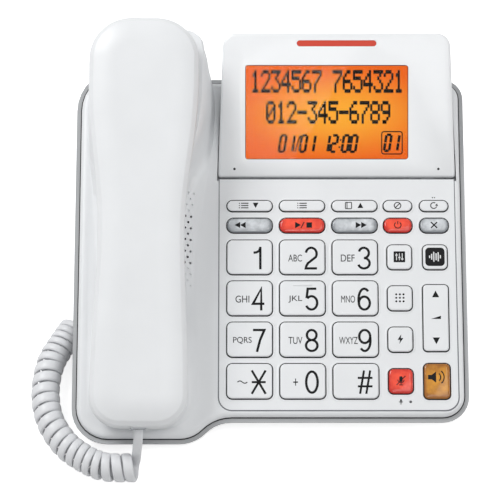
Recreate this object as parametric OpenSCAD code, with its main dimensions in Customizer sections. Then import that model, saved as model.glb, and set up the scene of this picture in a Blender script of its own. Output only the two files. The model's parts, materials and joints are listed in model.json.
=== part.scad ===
// Corded desk speakerphone: sloped base with a tilting display, a keypad, a raised handset cradle
// and a curly handset cord. Millimetres, +Z up, front towards -Y, feet on Z = 0.

/* [Base] */
// Slope of the deck above the table, degrees
deck_tilt = 12; // [8:1:16]
// Half width of the rim at the front edge
rim_half_front = 102.9; // [100:0.1:110]
// Inward lean of the two sides, degrees
side_lean = 0.2; // [0:0.1:1]
// Length of the rim from the front edge to the back edge, along the deck
rim_len = 188.8; // [188:0.2:194]
// How far the handset lobe stands out at the front
lobe_front = 11.5; // [10.5:0.5:14]
// How far the handset lobe stands out at the back
lobe_back = 7.2; // [6.5:0.1:10]
// Width of the grey rim that shows round the white housing
rim_band = 2.6; // [2.2:0.1:3]
// Height of the deck above the table at the front edge
deck_front_z = 16; // [15.5:0.5:20]
// Wall of the top housing deck
deck_t = 2.5; // [2:0.1:3]
// Wall of the bottom housing
shell_t = 2.2; // [1.8:0.1:2.4]
// Inset of the bowl under the rim
bowl_inset = 8; // [7:0.25:8.5]
// Height of the rubber feet under the bowl
foot_h = 2.5; // [2:0.25:3]

/* [Keypad] */
// Travel of a push key
key_travel = 1.2; // [0.8:0.1:1.4]
// Height of the key tops above the faceplate
key_rise = 1.3; // [1.2:0.1:2]
// Clearance round a key in its hole
key_gap = 0.35; // [0.3:0.05:0.45]
// Width of a dial key
dial_key_w = 23.3; // [21:0.1:24]
// Depth of a dial key
dial_key_d = 18.6; // [16:0.1:19]
// Spacing of the dial key columns
dial_pitch_u = 27.5; // [27:0.1:28]
// Spacing of the dial key rows
dial_pitch_v = 22.45; // [22:0.05:22.8]
// Thickness of the faceplate
plate_t = 1.9; // [1.6:0.1:2.2]
// Rise of the faceplate above the deck
plate_rise = 0.3; // [0.2:0.1:0.6]

/* [Display] */
// Tilt of the display above the deck at rest, degrees
display_tilt = 18; // [14:1:24]
// Width of the display along its bottom edge
display_w = 124.7; // [121:0.1:125]
// Height of the display from its bottom edge to its top edge
display_h = 76.2; // [75:0.1:80]
// Thickness of the display
display_t = 8; // [7.6:0.1:8.4]
// Wall of the display shells
display_wall = 1.8; // [1.4:0.1:2]
// Width of the display window
window_w = 85.9; // [76:0.1:88]
// Height of the display window
window_h = 49.7; // [44:0.1:50]
// Radius of the display hinge pins
pin_r = 1.5; // [1.2:0.1:1.6]

/* [Handset] */
// Length of the handset
handset_len = 215.5; // [213:0.5:217]
// Width of the ear end
handset_ear_w = 57; // [54:0.2:58]
// Width of the grip
handset_grip_w = 44.6; // [42:0.2:48]
// Width of the mouth end
handset_mouth_w = 50.2; // [48:0.2:52]
// Thickness of the handset at the grip
handset_t = 20.5; // [19.5:0.1:21]
// Wall of the handset shells
handset_wall = 2.2; // [1.8:0.1:2.6]
// Depth of the ear pad under the grip line
ear_pad_h = 6.5; // [5:0.1:7]
// Depth of the mouth pad under the grip line
mouth_pad_h = 2.5; // [2:0.1:3]
// Slope of the handset above the deck, degrees
handset_pitch = 6.2; // [5.6:0.1:6.6]
// Clearance of the handset in its cradle
seat_gap = 0.8; // [0.6:0.1:1]
// Stroke of the hook plunger
hook_stroke = 4; // [3:0.5:5]

/* [Cord] */
// Width of the flat handset cord
cord_w = 4; // [3.6:0.1:4.2]
// Thickness of the flat handset cord
cord_t = 2.4; // [2:0.1:2.6]
// Number of curls
curl_count = 21; // [14:1:21]
// Outside diameter of the curls
curl_d = 15; // [13:0.5:15]

/* [Hidden] */
// Colours
white = [0.91, 0.92, 0.93];
grey = [0.70, 0.71, 0.72];
dark = [0.13, 0.13, 0.14];
clear_grey = [0.74, 0.76, 0.78];
red = [0.86, 0.25, 0.18];
amber = [0.96, 0.52, 0.14];
orange = [0.97, 0.52, 0.16];
steel = [0.66, 0.67, 0.68];
green = [0.10, 0.38, 0.24];

// General fits
eps = 0.01;
rub = 0.3;
run_gap = 0.05;
arc_n = 8;
tool_h = 80;

// Deck frame: u across, v along the slope from the front rim edge, w square to the deck
deck_y = -93.1;
back_v = rim_len;
lobe_back_v = rim_len + lobe_back;
lobe_front_v = -lobe_front;
front_r = 14;
back_r = 11;
lobe_front_r = 19;
lobe_back_r = 25;
front_s_r = 18.7;
back_s_r = 16.3;
front_s_u = -20;
back_s_u = -31;

// Seam between the housings, as depths under the deck
seam_w = -2.8;
seam_gap = 0.4;
rim_top_w = seam_w - seam_gap;
flange_w = rim_top_w - 3.1;
rim_bottom_w = flange_w - shell_t;
rim_face = 0.9;
rim_under = 2.2;
tongue_out = rim_band + 1.8;
tongue_t = 1.8;
edge_r = 2.5;
floor_z = foot_h + shell_t;

// Faceplate and keys
plate_top_w = plate_rise;
plate_bottom_w = plate_top_w - plate_t;
cradle_in = 35.2;
cradle_u = cradle_in - rim_half_front;
cradle_space = 41.1;
plate_left_u = cradle_u + cradle_space;
plate_front_v = 5.7;
plate_back_v = 131.5;
plate_edge = rim_band + 3.2;
plate_r = 6.8;
ledge = 1.2;
flange_out = 1;
flange_t = 1.2;
key_top_w = plate_top_w + key_rise;
flange_top_w = plate_bottom_w - rub;
flange_bottom_w = flange_top_w - flange_t;
dome_top_w = flange_bottom_w - key_travel - rub;
dome_h = 1;
membrane_t = 1;
board_top_w = dome_top_w - dome_h - membrane_t;
board_t = 1.6;
board_bottom_w = board_top_w - board_t;

// Display frame: q up the panel from the hinge axis, m out of its face
hinge_v = 136;
hinge_w = -4;
face_m = 4.5;
back_m = face_m - display_t;
panel_q0 = -2;
panel_q1 = panel_q0 + display_h;
panel_mid_u = (plate_left_u + side_u(plate_back_v) - plate_edge) / 2;
panel_top_inset = 2.3;
panel_top_r = 7.3;
panel_foot_r = 1.6;
split_m = 2;
panel_round = 1.4;
window_left = 5.2;
window_u = panel_mid_u - window_left;
window_q = 32.5;
lamp_u = panel_mid_u;
lamp_q = 68.8;
lamp_w = 42;
lamp_h = 3.2;
lug_w = 7;
lug_r = 2.6;
lug_offset = 48;
lug_gap = 0.5;
lug_stem = 2 * lug_r - 0.6;
lowest_tilt = display_tilt - 8;
well_gap = 0.7;

// Cradle frame: x across and s along the handset, from the deck frame
cradle_yaw = 0.6;
seat_s = 5;
seat_w = 27;
mouth_p = -14;
ear_p = mouth_p + handset_len;
ear_r = 22;
mouth_r = 16;
parting_n = -9.5;
grip_n = -handset_t;
ear_pad_n = grip_n - ear_pad_h;
mouth_pad_n = grip_n - mouth_pad_h;
ear_pad_p = [146, 186];
mouth_pad_p = [-6, 32];
ear_pad_half = 22.5;
mouth_pad_half = 20.5;
pad_r = 9;
pedestal_s0 = -4.5;
pedestal_s1 = 192;
pedestal_drop = 7;
pedestal_grip = [38, 52, 122, 148];
pedestal_left = 30;
pedestal_right = 36.9;
pedestal_end_r = 18;
pedestal_lip_r = 9;
pedestal_waist = 3.5;
ear_rest = 2.9;
pedestal_lean = 0.55;
pedestal_bulge = 0.75;
speaker_s = 98;
speaker_r = 19;
speaker_rim = 2;
speaker_h = 16;
magnet_r = 10;
magnet_h = 6;
grille_r = 18;
grille_hole_d = 1.8;
grille_pitch = 5.4;
socket_n = -14;
socket_wall = 0.8;
hook_p = 151;

// Plug and socket of the handset cord
plug_w = 7.6;
plug_h = 6.2;
plug_l = 11;
plug_gap = 0.3;
jack_wall = 1.5;
jack_v = 51;
jack_z = 9.6;

function smooth(t) = let (c = min(max(t, 0), 1)) c * c * (3 - 2 * c);
function mix(a, b, t) = a + (b - a) * t;
function sum(v, i = 0) = i < len(v) ? v[i] + sum(v, i + 1) : 0;
function centre(pts) = [for (k = [0:2]) sum([for (p = pts) p[k]]) / len(pts)];
function at(pts, w) = [for (p = pts) [p[0], p[1], w]];
function arc(c, r, a0, a1, n = arc_n) =
    [for (i = [0:n]) let (a = mix(a0, a1, i / n)) [c[0] + r * cos(a), c[1] + r * sin(a)]];

// Rounded rectangle, counter-clockwise
function rrect(c, hw, hl, r, n = 3) = concat(
    arc([c[0] + hw - r, c[1] - hl + r], r, -90, 0, n),
    arc([c[0] + hw - r, c[1] + hl - r], r, 0, 90, n),
    arc([c[0] - hw + r, c[1] + hl - r], r, 90, 180, n),
    arc([c[0] - hw + r, c[1] - hl + r], r, 180, 270, n));

// Plan of the base in the deck frame, moved out by d
function side_u(v) = rim_half_front - v * tan(side_lean);
function corner_u(v, r) = rim_half_front - (r + v * sin(side_lean)) / cos(side_lean);
function step_angle(h, r) = acos(1 - h / (2 * r));
function base_plan(d) =
    let (back_a = step_angle(lobe_back, back_s_r),
         front_a = step_angle(lobe_front, front_s_r),
         back_w = 2 * back_s_r * sin(back_a),
         front_w = 2 * front_s_r * sin(front_a))
    concat(
        arc([corner_u(front_r, front_r), front_r], front_r + d, -90, side_lean),
        arc([corner_u(back_v - back_r, back_r), back_v - back_r], back_r + d, side_lean, 90),
        arc([back_s_u, back_v + back_s_r], back_s_r - d, -90, -90 - back_a, 4),
        arc([back_s_u - back_w, lobe_back_v - back_s_r], back_s_r + d, 90 - back_a, 90, 4),
        arc([-corner_u(lobe_back_v - lobe_back_r, lobe_back_r), lobe_back_v - lobe_back_r],
            lobe_back_r + d, 90, 180 - side_lean),
        arc([-corner_u(lobe_front_r + lobe_front_v, lobe_front_r), lobe_front_v + lobe_front_r],
            lobe_front_r + d, 180 - side_lean, 270),
        arc([front_s_u - front_w, lobe_front_v + front_s_r], front_s_r + d, 270, 270 + front_a, 5),
        arc([front_s_u, -front_s_r], front_s_r - d, 90 + front_a, 90, 5));

// Plan of the bowl in world x and y
bowl_y = deck_y - rim_bottom_w * sin(deck_tilt);
function bowl_plan(d) = [for (p = base_plan(d)) [p[0], bowl_y + p[1] * cos(deck_tilt)]];

// Plan of the handset in its own frame, moved out by d
function grip_half(p) =
    p < 90 ? mix(handset_mouth_w, handset_grip_w, smooth((p - 2) / 88)) / 2
           : mix(handset_grip_w, handset_ear_w, smooth((p - 90) / 75)) / 2;
function handset_side(d) = concat(
    arc([handset_mouth_w / 2 - mouth_r, mouth_p + mouth_r], mouth_r + d, -90, 0, 7),
    [for (p = [14:12:170]) [grip_half(p) + d, p]],
    arc([handset_ear_w / 2 - ear_r, ear_p - ear_r], ear_r + d, 0, 90, 7));
function handset_plan(d) =
    let (right = handset_side(d), n = len(right))
    concat(right, [for (i = [n - 1:-1:0]) [-right[i][0], right[i][1]]]);

// Closed solid through rings of equal count, lowest ring first; the caps fan out from the hubs
module ring_loft(rings, hubs = []) {
    n = len(rings[0]);
    m = len(rings);
    ends = len(hubs) > 0 ? hubs : [centre(rings[0]), centre(rings[m - 1])];
    points = concat([for (r = rings) each r], ends);
    sides = [for (j = [0:m - 2], i = [0:n - 1])
        let (k = (i + 1) % n, a = j * n + i, b = j * n + k, c = a + n, d = b + n)
        each [[a, c, d], [a, d, b]]];
    caps = [for (i = [0:n - 1]) let (k = (i + 1) % n, top = (m - 1) * n)
        each [[m * n, i, k], [m * n + 1, top + k, top + i]]];
    polyhedron(points, concat(sides, caps), convexity = 8);
}

module prism(plan, w0, w1) {
    translate([0, 0, w0]) linear_extrude(w1 - w0) polygon(plan);
}

module on_deck() {
    translate([0, deck_y, deck_front_z]) rotate([deck_tilt, 0, 0]) children();
}

module in_cradle() {
    on_deck() translate([cradle_u, 0, 0]) rotate([0, 0, -cradle_yaw]) children();
}

module on_handset() {
    in_cradle() translate([0, seat_s, seat_w]) rotate([handset_pitch, 0, 0]) children();
}

module on_display() {
    on_deck() translate([0, hinge_v, hinge_w]) rotate([display_tilt, 0, 0]) children();
}

// Keys as name, u, v, width, depth, corner radius and colour
dial_in = 15.8;
dial_u = plate_left_u + dial_in;
dial_v = 88.3;
dial_names = ["1", "2", "3", "4", "5", "6", "7", "8", "9", "star", "0", "hash"];
function dial_col(i) = dial_u + i * dial_pitch_u;
function dial_row(i) = dial_v - i * dial_pitch_v;
dial_keys = [for (i = [0:11]) [str("key_", dial_names[i]), dial_col(i % 3), dial_row(floor(i / 3)),
    dial_key_w, dial_key_d, 2.8, white]];
edge_in = 11.05;
edge_col = plate_right(plate_front_v) - edge_in;
side_pitch = 18.6;
side_col = edge_col - side_pitch;
oval_names = ["caller_list_key", "menu_key", "directory_key", "cancel_key", "redial_key"];
bar_d = 7.8;
bar_gap = 4.3;
bar_v = dial_row(0) + dial_key_d / 2 + bar_gap + bar_d / 2;
oval_d = 5.75;
oval_gap = 4;
oval_v = bar_v + bar_d / 2 + oval_gap + oval_d / 2;
bar_names = ["repeat_key", "play_key", "skip_key", "answer_key", "delete_key"];
row_u = [dial_col(0), dial_col(1), dial_col(2), side_col - 0.6, edge_col - 0.2];
row_w = [23.4, 23.4, 23.4, 14.6, 14.6];
bar_paint = [clear_grey, red, clear_grey, red, clear_grey];
oval_keys = [for (i = [0:4]) [oval_names[i], row_u[i], oval_v, row_w[i], oval_d, 2.8, white]];
bar_keys = [for (i = [0:4]) [bar_names[i], row_u[i], bar_v, row_w[i], bar_d, 3.4, bar_paint[i]]];
square_w = 12.5;
square_d = 13.2;
side_keys = [
    ["equalizer_key", side_col, dial_row(0), square_w, square_d, 2.6, white],
    ["speed_dial_key", side_col, dial_row(1), square_w, square_d, 2.6, white],
    ["flash_key", side_col, dial_row(2), square_w, square_d, 2.6, white],
    ["mute_key", side_col, dial_row(3), square_w, square_d, 2.6, red],
    ["audio_key", edge_col, dial_row(0), square_w, square_d, 2.6, white],
    ["speaker_key", edge_col + 0.1, dial_row(3), 13.4, 18.9, 2.4, amber]];
KEYS = concat(dial_keys, oval_keys, bar_keys, side_keys);
rocker_v = (dial_row(1) + dial_row(2)) / 2 + 0.5;
rocker_w = 13;
rocker_d = 35.9;
rocker_gap = 0.5;
rocker_half = rocker_w / 2 + rocker_gap;
trunnion_r = 1.2;
trunnion_w = plate_bottom_w - 1.9;
lug_t = 2;
lug_skin = 0.7;
lug_side = 1.2;
mic_hole_d = 1.4;

function key_plan(k, out) =
    rrect([k[1], k[2]], k[3] / 2 + out, k[4] / 2 + out, max(k[5] + out, 0.3));
function plate_right(v) = side_u(v) - plate_edge;
function plate_plan(d) = concat(
    arc([plate_right(plate_front_v) - plate_r, plate_front_v + plate_r], plate_r + d, -90, side_lean),
    [[plate_right(plate_back_v) + d, plate_back_v + d], [plate_left_u - d, plate_back_v + d]],
    arc([plate_left_u + plate_r, plate_front_v + plate_r], plate_r + d, 180, 270));

// Plan of the display in its own frame, moved out by d
function panel_edge(q) = display_w / 2 - panel_top_inset * (q - panel_q0) / display_h;
function panel_plan(d) =
    let (top = panel_edge(panel_q1) - panel_top_r, foot = panel_edge(panel_q0) - panel_foot_r,
         foot_r_in = max(panel_foot_r + d, 0.2))
    concat(
        arc([panel_mid_u + foot, panel_q0 + panel_foot_r], foot_r_in, -90, 0, 3),
        arc([panel_mid_u + top, panel_q1 - panel_top_r], panel_top_r + d, 0, 90, 6),
        arc([panel_mid_u - top, panel_q1 - panel_top_r], panel_top_r + d, 90, 180, 6),
        arc([panel_mid_u - foot, panel_q0 + panel_foot_r], foot_r_in, 180, 270, 3));

// Height of the cradle pedestal over the deck, and half of its top width
function seat_line(s) = seat_w + (s - seat_s) * tan(handset_pitch)
    + (grip_n - seat_gap) / cos(handset_pitch);
function grip_share(s) = smooth((s - pedestal_grip[0]) / (pedestal_grip[1] - pedestal_grip[0]))
    - smooth((s - pedestal_grip[2]) / (pedestal_grip[3] - pedestal_grip[2]));
function pedestal_h(s) = seat_line(s) - pedestal_drop * grip_share(s);
function pedestal_half(s) =
    s < 90 ? mix(handset_mouth_w / 2, handset_grip_w / 2 - pedestal_waist, smooth(s / 60))
           : mix(handset_grip_w / 2 - pedestal_waist, handset_ear_w / 2 + ear_rest, smooth((s - 110) / 58));
function end_cut(s, r) =
    let (e = min(s - pedestal_s0, pedestal_s1 - s, r))
    r - sqrt(max(r * r - (r - e) * (r - e), 0));
pedestal_foot_w = -1;
pedestal_chamfer = 1.2;
flank_n = 5;
function flank_point(top, foot, h, bulge, a) =
    [mix(top, foot, mix(1 - cos(a), sin(a), bulge)),
     mix(pedestal_foot_w, h - pedestal_chamfer, mix(1 - sin(a), cos(a), bulge))];
function flank(top, foot, h, bulge) =
    [for (i = [flank_n:-1:0]) flank_point(top, foot, h, bulge, 90 * i / flank_n)];
function pedestal_ring(s) =
    let (h = pedestal_h(s), cut = end_cut(s, pedestal_end_r),
         lip_cut = s < 90 ? cut : end_cut(s, pedestal_lip_r),
         top = pedestal_half(s) - lip_cut,
         bulge = pedestal_bulge * smooth((s - 135) / 40),
         left_top = min(pedestal_half(s), pedestal_left - 2.2) - cut,
         left = flank(left_top, pedestal_left - cut, h, bulge),
         right = flank(top, pedestal_right - cut, h, bulge),
         lean = pedestal_lean * smooth((s - 150) / 40),
         outline = concat(
            [for (p = left) [-p[0], p[1]]],
            [[-left[flank_n][0] + pedestal_chamfer, h], [top - pedestal_chamfer, h]],
            [for (i = [flank_n:-1:0]) right[i]]))
    [for (p = outline) [p[0], s + lean * p[1], p[1]]];
end_steps = [0, 0.8, 2.5, 5, 9, 13, 18];
pedestal_stations = concat(
    [for (e = end_steps) pedestal_s0 + e],
    [for (s = [22:11:165]) s],
    [for (i = [6:-1:0]) pedestal_s1 - end_steps[i]]);

// Depth of the display well floor under the deck
function well_floor(v) = hinge_w + back_m * cos(lowest_tilt) - 1 + (v - hinge_v) * tan(lowest_tilt);
function well_side(v) = display_w / 2 + well_gap
    - panel_top_inset * max(v - plate_back_v, 0) / display_h;
well_front_v = plate_back_v - 0.7;
well_back_v = hinge_v - (well_floor(hinge_v) - 0.5) / tan(lowest_tilt);
tray_t = 2;
tray_wall = 2.2;
module along_u(profile, u0, u1) {
    translate([u0, 0, 0]) rotate([90, 0, 90]) linear_extrude(u1 - u0) polygon(profile);
}

// Screw posts between the housings, as deck places with the depth of what they hang from
screw_r = 1.5;
screw_head_r = 2.8;
screw_head_h = 1.6;
screw_bite = 6;
post_r = 3.6;
boss_l = 8;
tray_mid = well_floor(150) - tray_t / 2;
screw_posts = [[-52, 14, -deck_t / 2], [-66, 136, -deck_t / 2], [0, 150, tray_mid], [60, 150, tray_mid]];
function deck_point(u, v, w) = [u, deck_y + v * cos(deck_tilt) - w * sin(deck_tilt),
    deck_front_z + v * sin(deck_tilt) + w * cos(deck_tilt)];
function post_point(k) = deck_point(k[0], k[1], k[2]);
function post_split(k) = post_point(k)[2] - boss_l;

// Hub of an end cap, low between the feet of the flanks so that it sees the whole ring
hub_lift = 0.2;
function pedestal_hub(ring) = (ring[0] + ring[len(ring) - 1]) / 2 + [0, 0, hub_lift];

module pedestal() {
    rings = [for (s = pedestal_stations) pedestal_ring(s)];
    in_cradle() ring_loft(rings, [pedestal_hub(rings[0]), pedestal_hub(rings[len(rings) - 1])]);
}

module grille_holes(d) {
    rows = ceil(grille_r / (grille_pitch * 0.866));
    for (j = [-rows:rows], i = [-rows:rows]) {
        x = (i + (j % 2 == 0 ? 0 : 0.5)) * grille_pitch;
        y = j * grille_pitch * 0.866;
        if (norm([x, y]) < grille_r)
            translate([x, speaker_s + y, -deck_t - 1]) cylinder(d = d, h = tool_h / 2, $fn = 24);
    }
}

// Speaker holes down the right flank, staggered, with blind dimples at both ends
flank_hole_d = 1.3;
flank_hole_step = 3.15;
flank_hole_a = [35, 42.5, 49];
dimple_depth = 0.5;
through_rows = 4;
dimple_rows = 8;
module flank_holes() {
    for (k = [-dimple_rows:dimple_rows], i = k % 2 == 0 ? [0, 2] : [1]) {
        a = flank_hole_a[i];
        s = speaker_s + k * flank_hole_step;
        top = pedestal_half(s);
        p = flank_point(top, pedestal_right, pedestal_h(s), 0, a);
        run = (pedestal_right - top) * sin(a);
        fall = (pedestal_h(s) - pedestal_chamfer - pedestal_foot_w) * cos(a);
        deep = abs(k) > through_rows ? dimple_depth : speaker_r / 2;
        translate([p[0], s, p[1]]) rotate([0, atan2(fall, run), 0]) translate([0, 0, -deep])
            cylinder(d = flank_hole_d, h = deep + 1, $fn = 16);
    }
}

module pocket(p, half, n) {
    mid = (p[0] + p[1]) / 2;
    plan = rrect([0, mid], half + seat_gap, (p[1] - p[0]) / 2 + seat_gap, pad_r + seat_gap, 5);
    on_handset() prism(plan, n - seat_gap, tool_h / 2);
}

hook_w = 7;
hook_d = 5;
hook_gap = 0.4;
hook_skin = 2.5;
core_mid = 160.5;
core_half = 17.5;
core_depth = 26;
core_n = ear_pad_n - seat_gap - hook_skin;

module top_housing() {
    color(white) difference() {
        union() {
            on_deck() difference() {
                union() {
                    ring_loft(concat([at(base_plan(-rim_band), seam_w)],
                        [for (a = [0:30:90]) at(base_plan(-rim_band - edge_r * (1 - cos(a))),
                            -edge_r * (1 - sin(a)))]));
                    prism(base_plan(-tongue_out), flange_w, -deck_t / 2);
                }
                prism(base_plan(-tongue_out - tongue_t), flange_w - 1, -deck_t);
            }
            pedestal();
            on_deck() intersection() {
                along_u([[well_front_v - tray_wall, well_floor(well_front_v) - tray_t],
                    [well_back_v - 3, well_floor(well_back_v - 3) - tray_t],
                    [well_back_v - 3, -deck_t / 4], [well_front_v - tray_wall, -deck_t / 4]],
                    panel_mid_u - display_w / 2 - well_gap - tray_wall, rim_half_front);
                union() {
                    prism(base_plan(-tongue_out), flange_w, tool_h);
                    prism(base_plan(-bowl_inset - shell_t - rub), -tool_h, 0);
                }
            }
            for (k = screw_posts) translate([k[0], post_point(k)[1], post_split(k)])
                cylinder(r = post_r, h = boss_l, $fn = 32);
        }
        // Display well, open to the rim below the seam
        on_deck() intersection() {
            along_u([[well_front_v, well_floor(well_front_v)], [well_back_v, well_floor(well_back_v)],
                [well_back_v, tool_h / 4], [well_front_v, tool_h / 4]], -rim_half_front, rim_half_front);
            union() {
                translate([panel_mid_u, 0, 0]) prism([
                    [-well_side(well_front_v), well_front_v - 1], [well_side(well_front_v), well_front_v - 1],
                    [well_side(back_v), back_v], [-well_side(back_v), back_v]], -tool_h, tool_h);
                prism([[panel_mid_u, well_front_v - 1], [rim_half_front, well_front_v - 1],
                    [rim_half_front, back_v], [panel_mid_u, back_v]], -tool_h, seam_w);
            }
        }
        // Seat and window of the faceplate
        on_deck() prism(plate_plan(rub), plate_bottom_w, tool_h / 4);
        on_deck() intersection() {
            prism(plate_plan(-ledge), -deck_t - 1, 1);
            translate([-rim_half_front, 0, -tool_h / 2])
                cube([2 * rim_half_front, well_front_v - tray_wall, tool_h]);
        }
        // Handset pockets, hook hole, speaker chamber and the core of the ear rest
        pocket(ear_pad_p, ear_pad_half, ear_pad_n);
        pocket(mouth_pad_p, mouth_pad_half, mouth_pad_n);
        on_handset() prism(rrect([0, hook_p], hook_w / 2 + hook_gap, hook_d / 2 + hook_gap, 1.4, 4),
            core_n - 1, ear_pad_n);
        on_handset() prism(rrect([0, core_mid], ear_pad_half, core_half, 8, 5), core_n - core_depth, core_n);
        in_cradle() translate([0, speaker_s, -deck_t - 1])
            cylinder(r = speaker_r + 1, h = deck_t + 1 + speaker_top_w, $fn = 64);
        in_cradle() grille_holes(grille_hole_d);
        in_cradle() flank_holes();
        for (k = screw_posts) translate([k[0], post_point(k)[1], post_split(k) - 1])
            cylinder(r = screw_r, h = 1 + screw_bite, $fn = 24);
    }
    color(white) hinge_lugs();
}

speaker_top_w = pedestal_h(speaker_s - speaker_r) - 3.2;

module hinge_lugs() {
    for (side = [-1, 1]) on_deck() translate([panel_mid_u + side * lug_offset, hinge_v, hinge_w]) {
        difference() {
            union() {
                rotate([0, 90, 0]) cylinder(r = lug_r, h = lug_w, center = true, $fn = 32);
                translate([-lug_w / 2, -lug_stem / 2, well_floor(hinge_v) - hinge_w - tray_t / 2])
                    cube([lug_w, lug_stem, hinge_w - well_floor(hinge_v) + tray_t / 2]);
            }
            rotate([0, 90, 0]) cylinder(r = pin_r + run_gap, h = lug_w + 1, center = true, $fn = 32);
        }
    }
}

bottom_posts = [[-20, 40], [40, 40], [86, 40], [-20, 100], [40, 100], [86, 100]];
board_post_r = 3;
bowl_top_w = rim_bottom_w + 0.6;
jack_y = deck_point(0, jack_v, rim_bottom_w)[1];
jack_x = -side_u(jack_v) + bowl_inset;
jack_depth = 14;
jack_block_w = plug_w + 2 * (plug_gap + jack_wall);
jack_block_h = plug_h + 2 * (plug_gap + jack_wall);
back_y = deck_point(0, back_v - bowl_inset, rim_bottom_w)[1];
line_x = 40;
power_x = 68;
port_z = 20;
line_w = 14;
line_h = 12;
line_l = 15;
line_socket_w = 9.8;
line_socket_h = 6.8;
line_socket_l = 11;
power_r = 4.5;
power_l = 12;
keyhole_x = 41.3;
keyhole_r = 4;
keyhole_slot = 4;
foot_r = 7;
foot_edge = 0.6;
foot_places = [[-72, -68], [72, -64], [-72, 66], [72, 62]];

module under_deck(w) {
    on_deck() translate([-2 * rim_half_front, -2 * rim_half_front, w - 4 * rim_half_front])
        cube([4 * rim_half_front, 6 * rim_half_front, 4 * rim_half_front]);
}

module bowl(inset, z0, w1) {
    intersection() {
        prism(bowl_plan(-inset), z0, tool_h);
        under_deck(w1);
    }
}

module bottom_housing() {
    color(grey) difference() {
        union() {
            difference() {
                union() {
                    bowl(bowl_inset, foot_h, bowl_top_w);
                    on_deck() ring_loft([at(base_plan(-rim_under), rim_bottom_w),
                        at(base_plan(0), rim_top_w - rim_face), at(base_plan(0), rim_top_w)]);
                }
                on_deck() prism(base_plan(-tongue_out + rub), flange_w, tool_h);
                bowl(bowl_inset + shell_t, floor_z, tool_h / 2);
            }
            intersection() {
                bowl(bowl_inset + shell_t / 2, foot_h + shell_t / 2, tool_h / 2);
                union() {
                    on_deck() for (p = bottom_posts) translate([p[0], p[1], -tool_h])
                        cylinder(r = board_post_r, h = tool_h + board_bottom_w, $fn = 24);
                    for (k = screw_posts) translate([k[0], post_point(k)[1], 0])
                        cylinder(r = post_r, h = post_split(k), $fn = 32);
                }
            }
        }
        for (k = screw_posts) translate([k[0], post_point(k)[1], 0]) {
            cylinder(r = screw_r + run_gap, h = tool_h, $fn = 24);
            cylinder(r = screw_head_r + rub, h = floor_z + screw_head_h, $fn = 32);
        }
        translate([jack_x - shell_t, jack_y - jack_block_w / 2 - run_gap,
            jack_z - jack_block_h / 2 - run_gap])
            cube([4 * shell_t, jack_block_w + 2 * run_gap, jack_block_h + 2 * run_gap]);
        translate([line_x - line_w / 2 - run_gap, back_y - 2 * shell_t, port_z - line_h / 2 - run_gap])
            cube([line_w + 2 * run_gap, 4 * shell_t, line_h + 2 * run_gap]);
        translate([power_x, back_y - 2 * shell_t, port_z]) rotate([-90, 0, 0])
            cylinder(r = power_r + run_gap, h = 4 * shell_t, $fn = 32);
        for (side = [-1, 1]) translate([side * keyhole_x, 0, 0]) {
            cylinder(r = keyhole_r, h = floor_z + 1, $fn = 32);
            translate([-keyhole_slot / 2, 0, 0]) cube([keyhole_slot, 3 * keyhole_slot, floor_z + 1]);
        }
    }
}

module rubber_feet() {
    color(dark) for (p = foot_places) translate([p[0], p[1], 0])
        rotate_extrude($fn = 48) polygon([[0, 0], [foot_r - foot_edge, 0], [foot_r, foot_edge],
            [foot_r, foot_h], [0, foot_h]]);
}

module housing_screws() {
    color(steel) for (k = screw_posts) translate([k[0], post_point(k)[1], floor_z]) {
        translate([0, 0, screw_head_h])
            cylinder(r = screw_r, h = post_split(k) + screw_bite - floor_z - screw_head_h, $fn = 24);
        cylinder(r = screw_head_r, h = screw_head_h, $fn = 32);
    }
}

module handset_jack() {
    color(dark) translate([jack_x, jack_y, jack_z]) difference() {
        translate([0, -jack_block_w / 2, -jack_block_h / 2]) cube([jack_depth, jack_block_w, jack_block_h]);
        translate([-1, -plug_w / 2 - plug_gap, -plug_h / 2 - plug_gap])
            cube([plug_l + 1, plug_w + 2 * plug_gap, plug_h + 2 * plug_gap]);
    }
}

module line_jack() {
    color(dark) translate([line_x, back_y, port_z]) difference() {
        translate([-line_w / 2, -line_l, -line_h / 2]) cube([line_w, line_l, line_h]);
        translate([-line_socket_w / 2, -line_socket_l, -line_socket_h / 2])
            cube([line_socket_w, line_socket_l + 1, line_socket_h]);
    }
}

module dc_jack() {
    color(dark) translate([power_x, back_y, port_z]) rotate([90, 0, 0]) difference() {
        cylinder(r = power_r, h = power_l, $fn = 32);
        difference() {
            translate([0, 0, -1]) cylinder(r = power_r - jack_wall, h = power_l - 1, $fn = 32);
            cylinder(r = 1, h = power_l, $fn = 24);
        }
    }
}

module keypad_faceplate() {
    color(white) on_deck() difference() {
        union() {
            translate([0, 0, plate_bottom_w]) linear_extrude(plate_t) difference() {
                polygon(plate_plan(0));
                for (k = KEYS) polygon(key_plan(k, key_gap));
                translate([edge_col, rocker_v])
                    square([2 * rocker_half, rocker_d + 2 * rocker_gap], center = true);
            }
            for (side = [-1, 1]) translate([edge_col + side * (rocker_half + lug_t / 2), rocker_v, 0])
                translate([-lug_t / 2, -trunnion_r - lug_side, trunnion_w - trunnion_r - lug_skin])
                    cube([lug_t, 2 * (trunnion_r + lug_side),
                        plate_bottom_w + plate_t / 4 - trunnion_w + trunnion_r + lug_skin]);
        }
        translate([edge_col, rocker_v, trunnion_w]) rotate([0, 90, 0])
            cylinder(r = trunnion_r + run_gap, h = 2 * rocker_half + 3 * lug_t, center = true, $fn = 24);
        translate([mic_u, mic_v, plate_bottom_w - 1]) cylinder(d = mic_hole_d, h = plate_t + 2, $fn = 24);
    }
}

mic_right = 4.9;
mic_u = side_col + mic_right;
mic_v = 10.1;
mic_r = 2.6;
mic_h = 2.2;

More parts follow.
